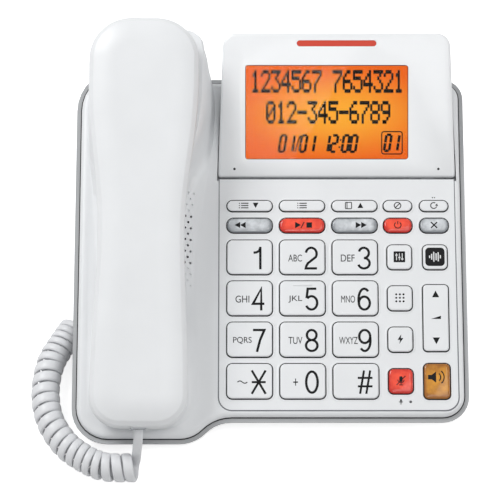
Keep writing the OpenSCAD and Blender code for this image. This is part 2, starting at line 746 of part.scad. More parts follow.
// Plan of the circuit board, inside the bowl and in front of the display well
board_gap = 0.5;
board_in = bowl_inset + shell_t + board_gap;
board_back_v = well_front_v - tray_wall - board_gap;
board_left_u = plate_left_u + 2 * ledge;
board_plan = [[board_left_u, board_in], [side_u(board_in) - board_in - board_in / 4, board_in],
    [side_u(2 * board_in) - board_in, 2 * board_in], [side_u(board_back_v) - board_in, board_back_v],
    [board_left_u, board_back_v]];

module keypad_membrane() {
    color(grey) on_deck() {
        prism(board_plan, board_top_w, board_top_w + membrane_t);
        for (k = KEYS) translate([k[1], k[2], board_top_w + membrane_t / 2])
            cylinder(r = min(k[3], k[4]) / 2 - 0.5, h = membrane_t / 2 + dome_h, $fn = 24);
    }
}

module main_board() {
    color(green) on_deck() prism(board_plan, board_bottom_w, board_top_w);
}

module base_microphone() {
    color(dark) on_deck() translate([mic_u, mic_v, plate_bottom_w - mic_h])
        cylinder(r = mic_r, h = mic_h, $fn = 32);
}

module loudspeaker() {
    color(dark) in_cradle() translate([0, speaker_s, speaker_top_w]) rotate_extrude($fn = 64)
        polygon([[0, 0], [speaker_r, 0], [speaker_r, -speaker_rim],
            [speaker_r - speaker_rim, -2 * speaker_rim], [magnet_r, magnet_h - speaker_h],
            [magnet_r, -speaker_h], [0, -speaker_h]]);
}

module hook_plunger() {
    color(white) on_handset() {
        prism(rrect([0, hook_p], hook_w / 2, hook_d / 2, 1, 4), core_n - 5, ear_pad_n - rub);
        prism(rrect([0, hook_p], hook_w / 2 + 2, hook_d / 2 + 2, 1, 4),
            core_n - hook_stroke - rub - 1.5, core_n - hook_stroke - rub);
    }
}

module key_body(k) {
    round = 0.45;
    color(k[6]) on_deck() ring_loft([
        at(key_plan(k, flange_out), flange_bottom_w),
        at(key_plan(k, flange_out), flange_top_w),
        at(key_plan(k, 0), flange_top_w + eps),
        at(key_plan(k, 0), key_top_w - 2 * round),
        at(key_plan(k, -round), key_top_w - round / 2),
        at(key_plan(k, -4 * round), key_top_w)]);
}

module volume_rocker() {
    hw = rocker_w / 2;
    hd = rocker_d / 2;
    c = [edge_col, rocker_v];
    color(white) on_deck() {
        ring_loft([
            at(rrect(c, hw, hd, 2, 3), trunnion_w + rub),
            at(rrect(c, hw, hd, 2, 3), key_top_w - 0.9),
            at(rrect(c, hw - 0.5, hd - 0.5, 1.6, 3), key_top_w - 0.2),
            at(rrect(c, hw - 1.8, hd - 1.8, 1, 3), key_top_w)]);
        translate([edge_col, rocker_v, trunnion_w]) rotate([0, 90, 0])
            cylinder(r = trunnion_r, h = 2 * (rocker_half + lug_t), center = true, $fn = 24);
    }
}

module handset_outer() {
    edge = [[-8, 0], [-4, -0.2], [-2, -0.7], [-0.7, -1.9], [0, -4.5], [0, parting_n]];
    color(white) on_handset() difference() {
        ring_loft([for (i = [5:-1:0]) at(handset_plan(edge[i][0]), edge[i][1])]);
        prism(handset_plan(-handset_wall), parting_n - 1, -handset_wall - 0.5);
    }
}

receiver_r = 17.5;
receiver_h = 8;
receiver_rim = 3;
receiver_back_r = 12;
receiver_p = (ear_pad_p[0] + ear_pad_p[1]) / 2;
capsule_r = 4.8;
capsule_h = 5;
capsule_p = (mouth_pad_p[0] + mouth_pad_p[1]) / 2;
pad_skin = 2;
ear_hole_r = 6;
ear_hole_d = 2.4;
mouth_hole_d = 1.8;

module pad(p, half, n) {
    mid = (p[0] + p[1]) / 2;
    hl = (p[1] - p[0]) / 2;
    ring_loft([
        at(rrect([0, mid], half - 1.8, hl - 1.8, pad_r - 1.8, 5), n),
        at(rrect([0, mid], half - 0.5, hl - 0.5, pad_r - 0.5, 5), n + 0.5),
        at(rrect([0, mid], half, hl, pad_r, 5), n + 1.6),
        at(rrect([0, mid], half, hl, pad_r, 5), grip_n + handset_wall / 2)]);
}

module handset_inner() {
    edge = [[-5.5, grip_n], [-2.6, grip_n + 1], [-0.8, grip_n + 3.4], [0, grip_n + 6.5], [0, parting_n]];
    socket_half = plug_w / 2 + plug_gap + socket_wall;
    socket_rise = plug_h / 2 + plug_gap + socket_wall;
    color(white) on_handset() difference() {
        union() {
            ring_loft([for (e = edge) at(handset_plan(e[0]), e[1])]);
            pad(ear_pad_p, ear_pad_half, ear_pad_n);
            pad(mouth_pad_p, mouth_pad_half, mouth_pad_n);
        }
        prism(handset_plan(-handset_wall - 3.2), grip_n + handset_wall, parting_n + 1);
        translate([0, receiver_p, ear_pad_n + pad_skin])
            cylinder(r = receiver_r + run_gap, h = tool_h, $fn = 64);
        translate([0, capsule_p, mouth_pad_n + pad_skin])
            cylinder(r = capsule_r + run_gap, h = tool_h, $fn = 32);
        for (i = [0:6]) translate([0, receiver_p, ear_pad_n - 1])
            rotate([0, 0, 60 * i]) translate([i == 6 ? 0 : ear_hole_r, 0, 0])
                cylinder(d = ear_hole_d, h = pad_skin + 2, $fn = 24);
        for (i = [-1:1]) translate([2 * mouth_hole_d * i, capsule_p, mouth_pad_n - 1])
            cylinder(d = mouth_hole_d, h = pad_skin + 2, $fn = 24);
        translate([-socket_half - run_gap, mouth_p - 1, socket_n - socket_rise - run_gap])
            cube([2 * (socket_half + run_gap), handset_wall + 7, 2 * (socket_rise + run_gap)]);
    }
}

module receiver_capsule() {
    color(dark) on_handset() translate([0, receiver_p, ear_pad_n + pad_skin])
        rotate_extrude($fn = 64) polygon([[0, 0], [receiver_r, 0], [receiver_r, receiver_rim],
            [receiver_back_r, receiver_h], [0, receiver_h]]);
}

module handset_microphone() {
    color(dark) on_handset() translate([0, capsule_p, mouth_pad_n + pad_skin])
        cylinder(r = capsule_r, h = capsule_h, $fn = 32);
}

weight_size = [24, 46, 6];
weight_p = 80;
module handset_weight() {
    color(steel) on_handset() translate([-weight_size[0] / 2, weight_p, grip_n + handset_wall])
        cube(weight_size);
}

module handset_socket() {
    half = plug_w / 2 + plug_gap;
    rise = plug_h / 2 + plug_gap;
    color(dark) on_handset() translate([0, mouth_p, socket_n]) difference() {
        translate([-half - socket_wall, 0, -rise - socket_wall])
            cube([2 * (half + socket_wall), jack_depth, 2 * (rise + socket_wall)]);
        translate([-half, -1, -rise]) cube([2 * half, plug_l + 1, 2 * rise]);
    }
}

module plug_body() {
    translate([-plug_w / 2, -plug_stand, -plug_h / 2]) difference() {
        cube([plug_w, plug_l + plug_stand - plug_gap, plug_h]);
        for (i = [-1.5:1:1.5])
            translate([(plug_w - contact_w) / 2 + i * contact_pitch, plug_l - 3, plug_h - 0.8])
                cube([contact_w, 4, 1]);
    }
}

plug_stand = 0.4;
contact_w = 0.5;
contact_pitch = 1.3;
module cord_handset_plug() {
    color(clear_grey) on_handset() translate([0, mouth_p, socket_n]) plug_body();
}

module cord_base_plug() {
    color(clear_grey) translate([jack_x, jack_y, jack_z]) rotate([0, 0, -90]) plug_body();
}

// Notch round a hinge lug, in the display frame
module lug_notches() {
    notch_w = lug_w + 2 * lug_gap;
    for (side = [-1, 1]) translate([panel_mid_u + side * lug_offset - notch_w / 2, panel_q0 - 1, back_m - 1])
        cube([notch_w, lug_r + lug_gap - panel_q0 + 1, lug_r + lug_gap - 0.1 - back_m + 1]);
}

// Relief of the right-hand foot of the display over the rim flange
relief_in = 14.9;
relief_u = rim_half_front - relief_in;
relief_q = 10.5;
relief_m = -1.1;
module rim_relief() {
    translate([relief_u, panel_q0 - 1, back_m - 1])
        cube([rim_half_front - relief_u, relief_q - panel_q0 + 1, relief_m - back_m + 1]);
}

pin_hold = 4;
module pins(r, extra) {
    pin_l = lug_w + 2 * (lug_gap + pin_hold) + extra;
    for (side = [-1, 1]) translate([panel_mid_u + side * lug_offset, 0, 0]) rotate([0, 90, 0])
        cylinder(r = r, h = pin_l, center = true, $fn = 32);
}

display_post_r = 2;
display_screw_r = 0.9;
lcd_margin = 1.2;
display_screw_q = [16, 60];
function lcd_edge(x) = window_u + x * (window_w / 2 + lcd_margin);
function bezel_edge(x) = panel_mid_u + x * (display_w / 2 - panel_top_inset);
display_screws_at = [for (x = [-1, 1], q = display_screw_q) [(lcd_edge(x) + bezel_edge(x)) / 2, q]];
hinge_block_q = window_q - window_h / 2 - 1.5 * lcd_margin;

module display_front() {
    color(white) on_display() difference() {
        union() {
            difference() {
                ring_loft([
                    at(panel_plan(0), split_m),
                    at(panel_plan(0), face_m - panel_round),
                    at(panel_plan(-0.4 * panel_round), face_m - 0.3 * panel_round),
                    at(panel_plan(-panel_round), face_m)]);
                prism(panel_plan(-display_wall), split_m - 1, face_m - display_wall);
            }
            for (p = display_screws_at) translate([p[0], p[1], split_m])
                cylinder(r = display_post_r, h = face_m - display_wall / 2 - split_m, $fn = 32);
        }
        lug_notches();
        prism(rrect([window_u, window_q], window_w / 2, window_h / 2, 1.5, 3), split_m - 1, face_m + 1);
        prism(rrect([lamp_u, lamp_q], lamp_w / 2, lamp_h / 2, lamp_h / 2 - eps, 5), split_m - 1, face_m + 1);
        for (p = display_screws_at) translate([p[0], p[1], split_m - 1])
            cylinder(r = display_screw_r + run_gap / 2, h = 2.2, $fn = 24);
    }
}

module display_back() {
    color(white) on_display() difference() {
        union() {
            difference() {
                ring_loft([
                    at(panel_plan(-panel_round), back_m),
                    at(panel_plan(-0.4 * panel_round), back_m + 0.3 * panel_round),
                    at(panel_plan(0), back_m + panel_round),
                    at(panel_plan(0), split_m)]);
                intersection() {
                    prism(panel_plan(-display_wall), back_m + display_wall, split_m + 1);
                    translate([-rim_half_front, hinge_block_q, back_m])
                        cube([3 * rim_half_front, display_h, display_t]);
                }
            }
            for (p = display_screws_at) translate([p[0], p[1], back_m + display_wall / 2])
                cylinder(r = display_post_r, h = split_m - back_m - display_wall / 2, $fn = 32);
        }
        lug_notches();
        rim_relief();
        pins(pin_r + run_gap / 2, run_gap);
        for (p = display_screws_at) translate([p[0], p[1], back_m - 1]) {
            cylinder(r = display_screw_r + run_gap / 2, h = display_t + 2, $fn = 24);
            cylinder(r = 2 * display_screw_r + rub / 2, h = 1 + head_seat, $fn = 24);
        }
    }
}

lens_rim = 1.5;
lens_t = 0.8;
lens_gap = 0.1;
lens_depth = 0.5;
module display_window() {
    color(clear_grey) on_display() {
        prism(rrect([window_u, window_q], window_w / 2 - lens_gap, window_h / 2 - lens_gap, 1.4, 3),
            face_m - display_wall - lens_t, face_m - lens_depth);
        prism(rrect([window_u, window_q], window_w / 2 + lens_rim, window_h / 2 + lens_rim, 1.4, 3),
            face_m - display_wall - lens_t, face_m - display_wall);
    }
}

lcd_t = 2.4;
module lcd_panel() {
    top = face_m - display_wall - lens_t;
    color(orange) on_display() prism(rrect([window_u, window_q],
        window_w / 2 + lcd_margin, window_h / 2 + lcd_margin, 1, 2), top - lcd_t, top);
}

lamp_half = lamp_h / 2 - lens_gap;
lamp_flange = 0.7;
module in_use_lens() {
    color(red) on_display() {
        prism(rrect([lamp_u, lamp_q], lamp_w / 2 - lens_gap, lamp_half, lamp_half - eps, 5),
            face_m - display_wall - lens_t, face_m + lens_gap);
        prism(rrect([lamp_u, lamp_q], lamp_w / 2 + lamp_flange, lamp_half + lamp_flange, 1, 3),
            face_m - display_wall - lens_t, face_m - display_wall);
    }
}

module hinge_pins() {
    color(steel) on_display() pins(pin_r, 0);
}

head_seat = 1.2;
head_t = 1;
module display_screws() {
    color(steel) on_display() for (p = display_screws_at) translate([p[0], p[1], back_m + head_seat]) {
        translate([0, 0, -head_t]) cylinder(r = 2 * display_screw_r, h = head_t, $fn = 24);
        cylinder(r = display_screw_r, h = split_m + 0.9 - back_m - head_seat, $fn = 24);
    }
}

// Handset cord: a lead from the handset, the curls lying on the table, and a lead into the base
curl_r = (curl_d - cord_t) / 2;
curl_z = curl_d / 2 + 0.1;
curl_turns = curl_count + 0.5;
rings_per_curl = 8;
curl_axis = [[-70.5, -116], [-85.7, -115.3], [-96.6, -110.1], [-106.4, -101.8], [-114.2, -88.5],
    [-117, -72.5], [-114.8, -55.5], [-109.2, -44], [-103.8, -35]];
function unit(v) = v / norm(v);
function axis_at(i) = i < 0 ? 2 * curl_axis[0] - curl_axis[1]
    : i >= len(curl_axis) ? 2 * curl_axis[len(curl_axis) - 1] - curl_axis[len(curl_axis) - 2] : curl_axis[i];
function spline(a, b, c, d, t) = 0.5 * ((2 * b) + (c - a) * t + (2 * a - 5 * b + 4 * c - d) * t * t
    + (3 * b - a - 3 * c + d) * t * t * t);
function axis_point(t) = let (x = t * (len(curl_axis) - 1), i = min(floor(x), len(curl_axis) - 2))
    spline(axis_at(i - 1), axis_at(i), axis_at(i + 1), axis_at(i + 2), x - i);
function axis_way(t) = let (h = 0.002, d = axis_point(min(t + h, 1)) - axis_point(max(t - h, 0)))
    unit([d[0], d[1], 0]);
function curl_point(t) = let (a = 180 + 360 * curl_turns * t, way = axis_way(t), p = axis_point(t))
    [p[0], p[1], curl_z] + curl_r * (cos(a) * [0, 0, 1] + sin(a) * [way[1], -way[0], 0]);
function cord_ring(p, way, across) =
    let (n = unit(cross(across, way)), b = cross(unit(way), n))
    [for (a = [30:60:330]) p + n * cord_t / 2 * cos(a) + b * cord_w / 2 * sin(a)];
function path_way(path, i) = unit(path[min(i + 1, len(path) - 1)] - path[max(i - 1, 0)]);
function lead_rings(path, from, to) = [for (i = [0:len(path) - 1])
    cord_ring(path[i], path_way(path, i), mix(from, to, i / (len(path) - 1)))];
curl_steps = round(curl_turns * rings_per_curl);
function curl_way(t) = let (h = 0.001) unit(curl_point(min(t + h, 1)) - curl_point(max(t - h, 0)));
curl_rings = [for (i = [0:curl_steps]) let (t = i / curl_steps)
    cord_ring(curl_point(t), curl_way(t), axis_way(t))];
function ring_gap(a, b) = min([for (p = a, q = b) norm(p - q)]);
curl_gap = min([for (i = [0:curl_steps - 5], j = [i + 5:min(i + 11, curl_steps)])
    ring_gap(curl_rings[i], curl_rings[j])]);
echo("least gap between curls", curl_gap);

plug_exit = plug_stand + 0.3;
function handset_point(x, p, n) =
    let (s = seat_s + p * cos(handset_pitch) - n * sin(handset_pitch),
         w = seat_w + p * sin(handset_pitch) + n * cos(handset_pitch))
    deck_point(cradle_u + x * cos(cradle_yaw) + s * sin(cradle_yaw),
        s * cos(cradle_yaw) - x * sin(cradle_yaw), w);
lead_start = handset_point(0, mouth_p - plug_exit, socket_n);
lead_out = handset_point(0, mouth_p - plug_exit - cord_w, socket_n);
handset_lead = [lead_start, lead_out, [-68.2, -109.3, 20.5], [-68.7, -111.4, 16], [-69.2, -112, 10.5],
    [-69.6, -112, 6], [-70, -112.4, 2.9], curl_point(0) - cord_w * curl_way(0) * 0.9, curl_point(0)];
base_lead = [curl_point(1), curl_point(1) + cord_w * curl_way(1), [-98.6, -39.5, 12.6], [-97.4, -41, 10.6],
    [jack_x - plug_exit - 1.2, jack_y, jack_z], [jack_x - plug_exit, jack_y, jack_z]];

module cord_curls() {
    color(white) ring_loft(curl_rings);
}

module cord_handset_lead() {
    color(white) ring_loft(lead_rings(handset_lead, [-1, 0, 0], axis_way(0)));
}

module cord_base_lead() {
    color(white) ring_loft(lead_rings(base_lead, axis_way(1), [0, 1, 0]));
}

key_names = [for (k = KEYS) k[0]];

top_housing();
bottom_housing();
keypad_faceplate();
keypad_membrane();
main_board();
loudspeaker();
base_microphone();
handset_jack();
line_jack();
dc_jack();
rubber_feet();
housing_screws();
cord_base_plug();
cord_base_lead();
cord_curls();
cord_handset_lead();
display_front();
display_back();
display_window();
lcd_panel();
in_use_lens();
hinge_pins();
display_screws();
hook_plunger();
handset_outer();
handset_inner();
receiver_capsule();
handset_microphone();
handset_weight();
handset_socket();
cord_handset_plug();
volume_rocker();
for (k = KEYS) key_body(k);
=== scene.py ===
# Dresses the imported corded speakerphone: cord, shells, keys, display, finishes and studio light
import json
import math

import bmesh
import bpy
from mathutils import Matrix, Vector


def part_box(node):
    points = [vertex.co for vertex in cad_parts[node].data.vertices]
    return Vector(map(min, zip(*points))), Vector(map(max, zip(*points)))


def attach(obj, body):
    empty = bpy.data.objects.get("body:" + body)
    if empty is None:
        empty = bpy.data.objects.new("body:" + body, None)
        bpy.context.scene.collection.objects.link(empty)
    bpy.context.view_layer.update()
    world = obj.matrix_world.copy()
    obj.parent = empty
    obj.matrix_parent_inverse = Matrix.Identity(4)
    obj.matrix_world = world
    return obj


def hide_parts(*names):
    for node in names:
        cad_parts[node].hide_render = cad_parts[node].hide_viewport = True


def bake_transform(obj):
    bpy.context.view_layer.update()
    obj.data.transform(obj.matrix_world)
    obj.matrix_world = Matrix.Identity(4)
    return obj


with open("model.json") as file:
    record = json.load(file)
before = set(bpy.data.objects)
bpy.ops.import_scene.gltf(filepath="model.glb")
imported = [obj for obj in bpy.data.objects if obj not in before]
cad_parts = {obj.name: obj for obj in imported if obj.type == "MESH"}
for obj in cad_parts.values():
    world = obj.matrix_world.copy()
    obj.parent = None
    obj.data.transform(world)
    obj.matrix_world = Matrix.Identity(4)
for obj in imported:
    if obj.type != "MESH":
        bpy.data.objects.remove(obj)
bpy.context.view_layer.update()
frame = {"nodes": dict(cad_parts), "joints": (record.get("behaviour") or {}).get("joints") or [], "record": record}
nodes = frame["nodes"]
record = frame["record"]
joints = {j["name"]: j for j in frame["joints"]}
slot_of = {s["node"]: s["material_slot"] for s in record["subparts"]}
body_of = {n: b for b, members in record["behaviour"]["bodies"].items() for n in members}

# Frames of the part's source, from millimetres to the metres of the row
MM = 0.001
DECK_FRONT_Y = -93.1
DECK_FRONT_Z = 16
CRADLE_U = -67.7
CRADLE_YAW = 0.6
SEAT_S = 5
SEAT_W = 27
HANDSET_PITCH = 6.2
DISPLAY_TILT = 18
deck_up = Vector(joints["key_5_press"]["axis"])
deck_tilt = math.atan2(-deck_up.y, deck_up.z)
hinge = Vector(joints["display_tilt"]["pos_m"])


def turn(degrees, axis):
    return Matrix.Rotation(math.radians(degrees), 4, axis)


def shift(*place):
    return Matrix.Translation(place)


to_metres = Matrix.Diagonal((MM, MM, MM, 1))
deck = to_metres @ shift(0, DECK_FRONT_Y, DECK_FRONT_Z) @ Matrix.Rotation(deck_tilt, 4, "X")
cradle = deck @ shift(CRADLE_U, 0, 0) @ turn(-CRADLE_YAW, "Z")
handset = cradle @ shift(0, SEAT_S, SEAT_W) @ turn(HANDSET_PITCH, "X")
panel = shift(0, hinge.y, hinge.z) @ to_metres @ Matrix.Rotation(deck_tilt, 4, "X") @ turn(DISPLAY_TILT, "X")

# Camera at the photograph's viewing angle
CAMERA_ELEVATION = 60
CAMERA_DISTANCE = 1.9
CAMERA_LENS = 263
CAMERA_TARGET = Vector((-0.0106, -0.0082, 0.045))


def camera_way():
    a = math.radians(CAMERA_ELEVATION)
    return Vector((0, -math.cos(a), math.sin(a)))


def make_camera():
    data = bpy.data.cameras.new("camera")
    data.lens = CAMERA_LENS
    data.sensor_width = 36
    data.clip_end = 20
    camera = bpy.data.objects.new("camera", data)
    bpy.context.scene.collection.objects.link(camera)
    camera.location = CAMERA_TARGET + CAMERA_DISTANCE * camera_way()
    camera.rotation_euler = (math.radians(90 - CAMERA_ELEVATION), 0, 0)
    bpy.context.scene.camera = camera


make_camera()


# Materials
def shader(name):
    mat = bpy.data.materials.new(name)
    mat.use_nodes = True
    return mat, mat.node_tree.nodes, mat.node_tree.links, mat.node_tree.nodes["Principled BSDF"]


def noise(tree, links, scale, detail):
    place = tree.new("ShaderNodeTexCoord")
    tex = tree.new("ShaderNodeTexNoise")
    tex.inputs["Scale"].default_value = scale
    tex.inputs["Detail"].default_value = detail
    links.new(place.outputs["Object"], tex.inputs["Vector"])
    return tex


MOTTLE = 0.03
MOTTLE_SCALE = 45
GRAIN_DEPTH = 0.00002


def moulded(name, colour, roughness, grain=900, coat=0.0):
    """Moulded plastic: a faint mottle in colour and gloss, and a spark-eroded grain."""
    mat, tree, links, bsdf = shader(name)
    cloud = noise(tree, links, MOTTLE_SCALE, 4)
    ramp = tree.new("ShaderNodeValToRGB")
    ramp.color_ramp.elements[0].position = 0.3
    ramp.color_ramp.elements[1].position = 0.7
    ramp.color_ramp.elements[0].color = (*[c * (1 - MOTTLE) for c in colour], 1)
    ramp.color_ramp.elements[1].color = (*colour, 1)
    links.new(cloud.outputs["Fac"], ramp.inputs["Fac"])
    links.new(ramp.outputs["Color"], bsdf.inputs["Base Color"])
    gloss = tree.new("ShaderNodeMapRange")
    gloss.inputs["To Min"].default_value = roughness * 0.9
    gloss.inputs["To Max"].default_value = roughness * 1.1
    links.new(cloud.outputs["Fac"], gloss.inputs["Value"])
    links.new(gloss.outputs["Result"], bsdf.inputs["Roughness"])
    fine = noise(tree, links, grain, 2)
    bump = tree.new("ShaderNodeBump")
    bump.inputs["Strength"].default_value = 0.25
    bump.inputs["Distance"].default_value = GRAIN_DEPTH
    links.new(fine.outputs["Fac"], bump.inputs["Height"])
    links.new(bump.outputs["Normal"], bsdf.inputs["Normal"])
    bsdf.inputs["Coat Weight"].default_value = coat
    bsdf.inputs["Coat Roughness"].default_value = 0.03
    return mat


def gel(name, deep, bright):
    """Tinted clear key top with painted light: bright in the middle and deep towards its rim, for the light
    through the clear plastic and the shade at its rim; the faint clouds are its own tone.
    """
    mat, tree, links, bsdf = shader(name)
    place = tree.new("ShaderNodeTexCoord")
    centred = tree.new("ShaderNodeVectorMath")
    centred.operation = "MULTIPLY_ADD"
    centred.inputs[1].default_value = (2, 2, 0)
    centred.inputs[2].default_value = (-1, -1, 0)
    links.new(place.outputs["Generated"], centred.inputs[0])
    split = tree.new("ShaderNodeSeparateXYZ")
    links.new(centred.outputs["Vector"], split.inputs["Vector"])
    cloud = noise(tree, links, 260, 3)
    level = cloud.outputs["Fac"]
    for side, power in (("X", 8), ("Y", 4)):
        rim = tree.new("ShaderNodeMath")
        rim.operation = "POWER"
        rim.inputs[1].default_value = power
        links.new(split.outputs[side], rim.inputs[0])
        blend = tree.new("ShaderNodeMath")
        blend.operation = "ADD"
        links.new(rim.outputs["Value"], blend.inputs[0])
        links.new(level, blend.inputs[1])
        level = blend.outputs["Value"]
    # Painted light: a lit middle and a shaded rim
    ramp = tree.new("ShaderNodeValToRGB")
    ramp.color_ramp.elements[0].position = 0.35
    ramp.color_ramp.elements[1].position = 1.0
    ramp.color_ramp.elements[0].color = (*bright, 1)
    ramp.color_ramp.elements[1].color = (*deep, 1)
    links.new(level, ramp.inputs["Fac"])
    links.new(ramp.outputs["Color"], bsdf.inputs["Base Color"])
    bsdf.inputs["Roughness"].default_value = 0.15
    bsdf.inputs["Specular IOR Level"].default_value = 0.2
    bsdf.inputs["Coat Weight"].default_value = 0.6
    bsdf.inputs["Coat Roughness"].default_value = 0.05
    return mat


def backlight(name, heart, edge):
    """Backlit liquid crystal: brightest a little right of the middle."""
    mat, tree, links, bsdf = shader(name)
    place = tree.new("ShaderNodeTexCoord")
    middle = tree.new("ShaderNodeVectorMath")
    middle.operation = "DISTANCE"
    middle.inputs[1].default_value = (0.56, 0.5, 0.5)
    links.new(place.outputs["Generated"], middle.inputs[0])
    ramp = tree.new("ShaderNodeValToRGB")
    ramp.color_ramp.interpolation = "EASE"
    ramp.color_ramp.elements[0].position = 0.05
    ramp.color_ramp.elements[1].position = 0.72
    ramp.color_ramp.elements[0].color = (*heart, 1)
    ramp.color_ramp.elements[1].color = (*edge, 1)
    links.new(middle.outputs["Value"], ramp.inputs["Fac"])
    links.new(ramp.outputs["Color"], bsdf.inputs["Emission Color"])
    bsdf.inputs["Emission Strength"].default_value = 0.9
    bsdf.inputs["Base Color"].default_value = (0.05, 0.02, 0.005, 1)
    bsdf.inputs["Roughness"].default_value = 0.5
    bsdf.inputs["Specular IOR Level"].default_value = 0
    return mat


def clear_lens(name):
    mat, tree, links, bsdf = shader(name)
    haze = noise(tree, links, 300, 2)
    gloss = tree.new("ShaderNodeMapRange")
    gloss.inputs["To Min"].default_value = 0.002
    gloss.inputs["To Max"].default_value = 0.006
    links.new(haze.outputs["Fac"], gloss.inputs["Value"])
    links.new(gloss.outputs["Result"], bsdf.inputs["Roughness"])
    bsdf.inputs["Base Color"].default_value = (1, 1, 1, 1)
    bsdf.inputs["Transmission Weight"].default_value = 1
    bsdf.inputs["IOR"].default_value = 1.12
    return mat


materials = {
    "white_plastic": moulded("white_plastic", (0.80, 0.815, 0.83), 0.36),
    "bezel": moulded("bezel", (0.87, 0.885, 0.9), 0.3, coat=0.2),
    "grey_plastic": moulded("grey_plastic", (0.405, 0.415, 0.425), 0.42),
    "clear_key": gel("clear_key", (0.27, 0.29, 0.31), (0.74, 0.77, 0.80)),
    "red_key": gel("red_key", (0.60, 0.018, 0.008), (1.0, 0.09, 0.04)),
    "amber_key": gel("amber_key", (0.34, 0.115, 0.006), (0.74, 0.32, 0.025)),
    "dark_plastic": moulded("dark_plastic", (0.025, 0.025, 0.028), 0.45),
    "membrane_rubber": moulded("membrane_rubber", (0.35, 0.36, 0.37), 0.8),
    "foot_rubber": moulded("foot_rubber", (0.03, 0.03, 0.032), 0.85),
    "board": moulded("board", (0.02, 0.16, 0.06), 0.4),
    "steel": moulded("steel", (0.55, 0.56, 0.57), 0.3),
    "plug_plastic": moulded("plug_plastic", (0.62, 0.65, 0.68), 0.15, coat=0.5),
    "cord_jacket": moulded("cord_jacket", (0.74, 0.75, 0.77), 0.38, grain=600),
    "window_lens": clear_lens("window_lens"),
    "lcd": backlight("lcd", (1.0, 0.42, 0.035), (0.86, 0.125, 0.012)),
    "red_lens": moulded("red_lens", (0.70, 0.085, 0.055), 0.4),
    # Painted shade: this dark finish goes where shade falls, in the key holes, the housing's seam, the display
    # window's edge and the speaker holes
    "gap": moulded("gap", (0.03, 0.03, 0.032), 0.7),
    # Painted shade: this grey finish is the line of shade round the faceplate
    "painted_seam_shade": moulded("painted_seam_shade", (0.165, 0.17, 0.19), 0.6),
    "ink": moulded("ink", (0.012, 0.012, 0.013), 0.4),
    "soft_ink": moulded("soft_ink", (0.022, 0.022, 0.024), 0.4),
    "pale_ink": moulded("pale_ink", (0.78, 0.79, 0.80), 0.4),
    "figure": moulded("figure", (0.01, 0.008, 0.007), 0.6),
}
materials["steel"].node_tree.nodes["Principled BSDF"].inputs["Metallic"].default_value = 1
for name in ("ink", "soft_ink", "figure", "gap", "red_lens"):
    materials[name].node_tree.nodes["Principled BSDF"].inputs["Specular IOR Level"].default_value = 0.1


# Pieces
def place_piece(obj, body, slot, *replaced):
    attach(obj, body)
    if replaced:
        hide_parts(*replaced)
    return obj


def mesh_piece(name, verts, faces, place, mats, face_mats=None, sharp=35):
    """One mesh piece from points in a frame of the part's source."""
    mesh = bpy.data.meshes.new(name)
    mesh.from_pydata([place @ Vector(v) for v in verts], [], faces)
    for mat in mats:
        mesh.materials.append(mat)
    if face_mats:
        mesh.polygons.foreach_set("material_index", face_mats)
    tidy = bmesh.new()
    tidy.from_mesh(mesh)
    bmesh.ops.remove_doubles(tidy, verts=tidy.verts, dist=1e-7)
    tidy.to_mesh(mesh)
    tidy.free()
    mesh.polygons.foreach_set("use_smooth", [True] * len(mesh.polygons))
    mesh.set_sharp_from_angle(angle=math.radians(sharp))
    obj = bpy.data.objects.new(name, mesh)
    bpy.context.scene.collection.objects.link(obj)
    return obj


def loft(rings, first=0):
    """Faces of a closed solid through rings of equal count, lowest ring first."""
    n = len(rings[0])
    faces = []
    for j in range(len(rings) - 1):
        for i in range(n):
            k = (i + 1) % n
            a = first + j * n
            faces.append((a + i, a + k, a + n + k, a + n + i))
    last = first + (len(rings) - 1) * n
    faces.append([first + i for i in reversed(range(n))])
    faces.append([last + i for i in range(n)])
    return faces


def joined(rings):
    return [p for points in rings for p in points]


# Flat shapes for print and screen, as lists of points and faces in millimetres
def poly(*points):
    return list(points), [tuple(range(len(points)))]


def merged(*shapes):
    points, faces = [], []
    for shape_points, shape_faces in shapes:
        first = len(points)
        points.extend(shape_points)
        faces.extend(tuple(first + i for i in face) for face in shape_faces)
    return points, faces


def moved(shape, du=0.0, dv=0.0, scale=1.0):
    return [(du + scale * p[0], dv + scale * p[1]) for p in shape[0]], shape[1]


def stroke(points, width, closed=False):
    """Band of even width along a line of points."""
    n = len(points)
    left, right = [], []
    for i, (x, y) in enumerate(points):
        before = points[i - 1] if i or closed else points[i]
        after = points[(i + 1) % n] if i < n - 1 or closed else points[i]
        ways = [Vector(b) - Vector(a) for a, b in ((before, (x, y)), ((x, y), after)) if a != b]
        normals = [Vector((-w.y, w.x)).normalized() for w in ways]
        mitre = sum(normals, Vector((0, 0))).normalized()
        reach = width / 2 / max(mitre.dot(normals[0]), 0.4)
        left.append((x + reach * mitre.x, y + reach * mitre.y))
        right.append((x - reach * mitre.x, y - reach * mitre.y))
    faces = [(n + i, n + (i + 1) % n, (i + 1) % n, i) for i in range(n if closed else n - 1)]
    return left + right, faces


def oval(x, y, rx, ry, start, end, steps=24):
    angles = [math.radians(start + (end - start) * i / steps) for i in range(steps + 1)]
    return [(x + rx * math.cos(a), y + ry * math.sin(a)) for a in angles]


def arc(c, r, start, end, steps=16):
    return oval(c[0], c[1], r, r, start, end, steps)


def rounded(c, hw, hd, r, steps=8):
    """Rounded rectangle, counter-clockwise."""
    corners = ((1, -1, -90), (1, 1, 0), (-1, 1, 90), (-1, -1, 180))
    return [p for sx, sy, start in corners
            for p in arc((c[0] + sx * (hw - r), c[1] + sy * (hd - r)), r, start, start + 90, steps)]


def triangle(c, size, turn_by=0):
    return poly(*[(c[0] + size * math.cos(math.radians(a + turn_by)),
                   c[1] + size * math.sin(math.radians(a + turn_by))) for a in (0, 120, 240)])


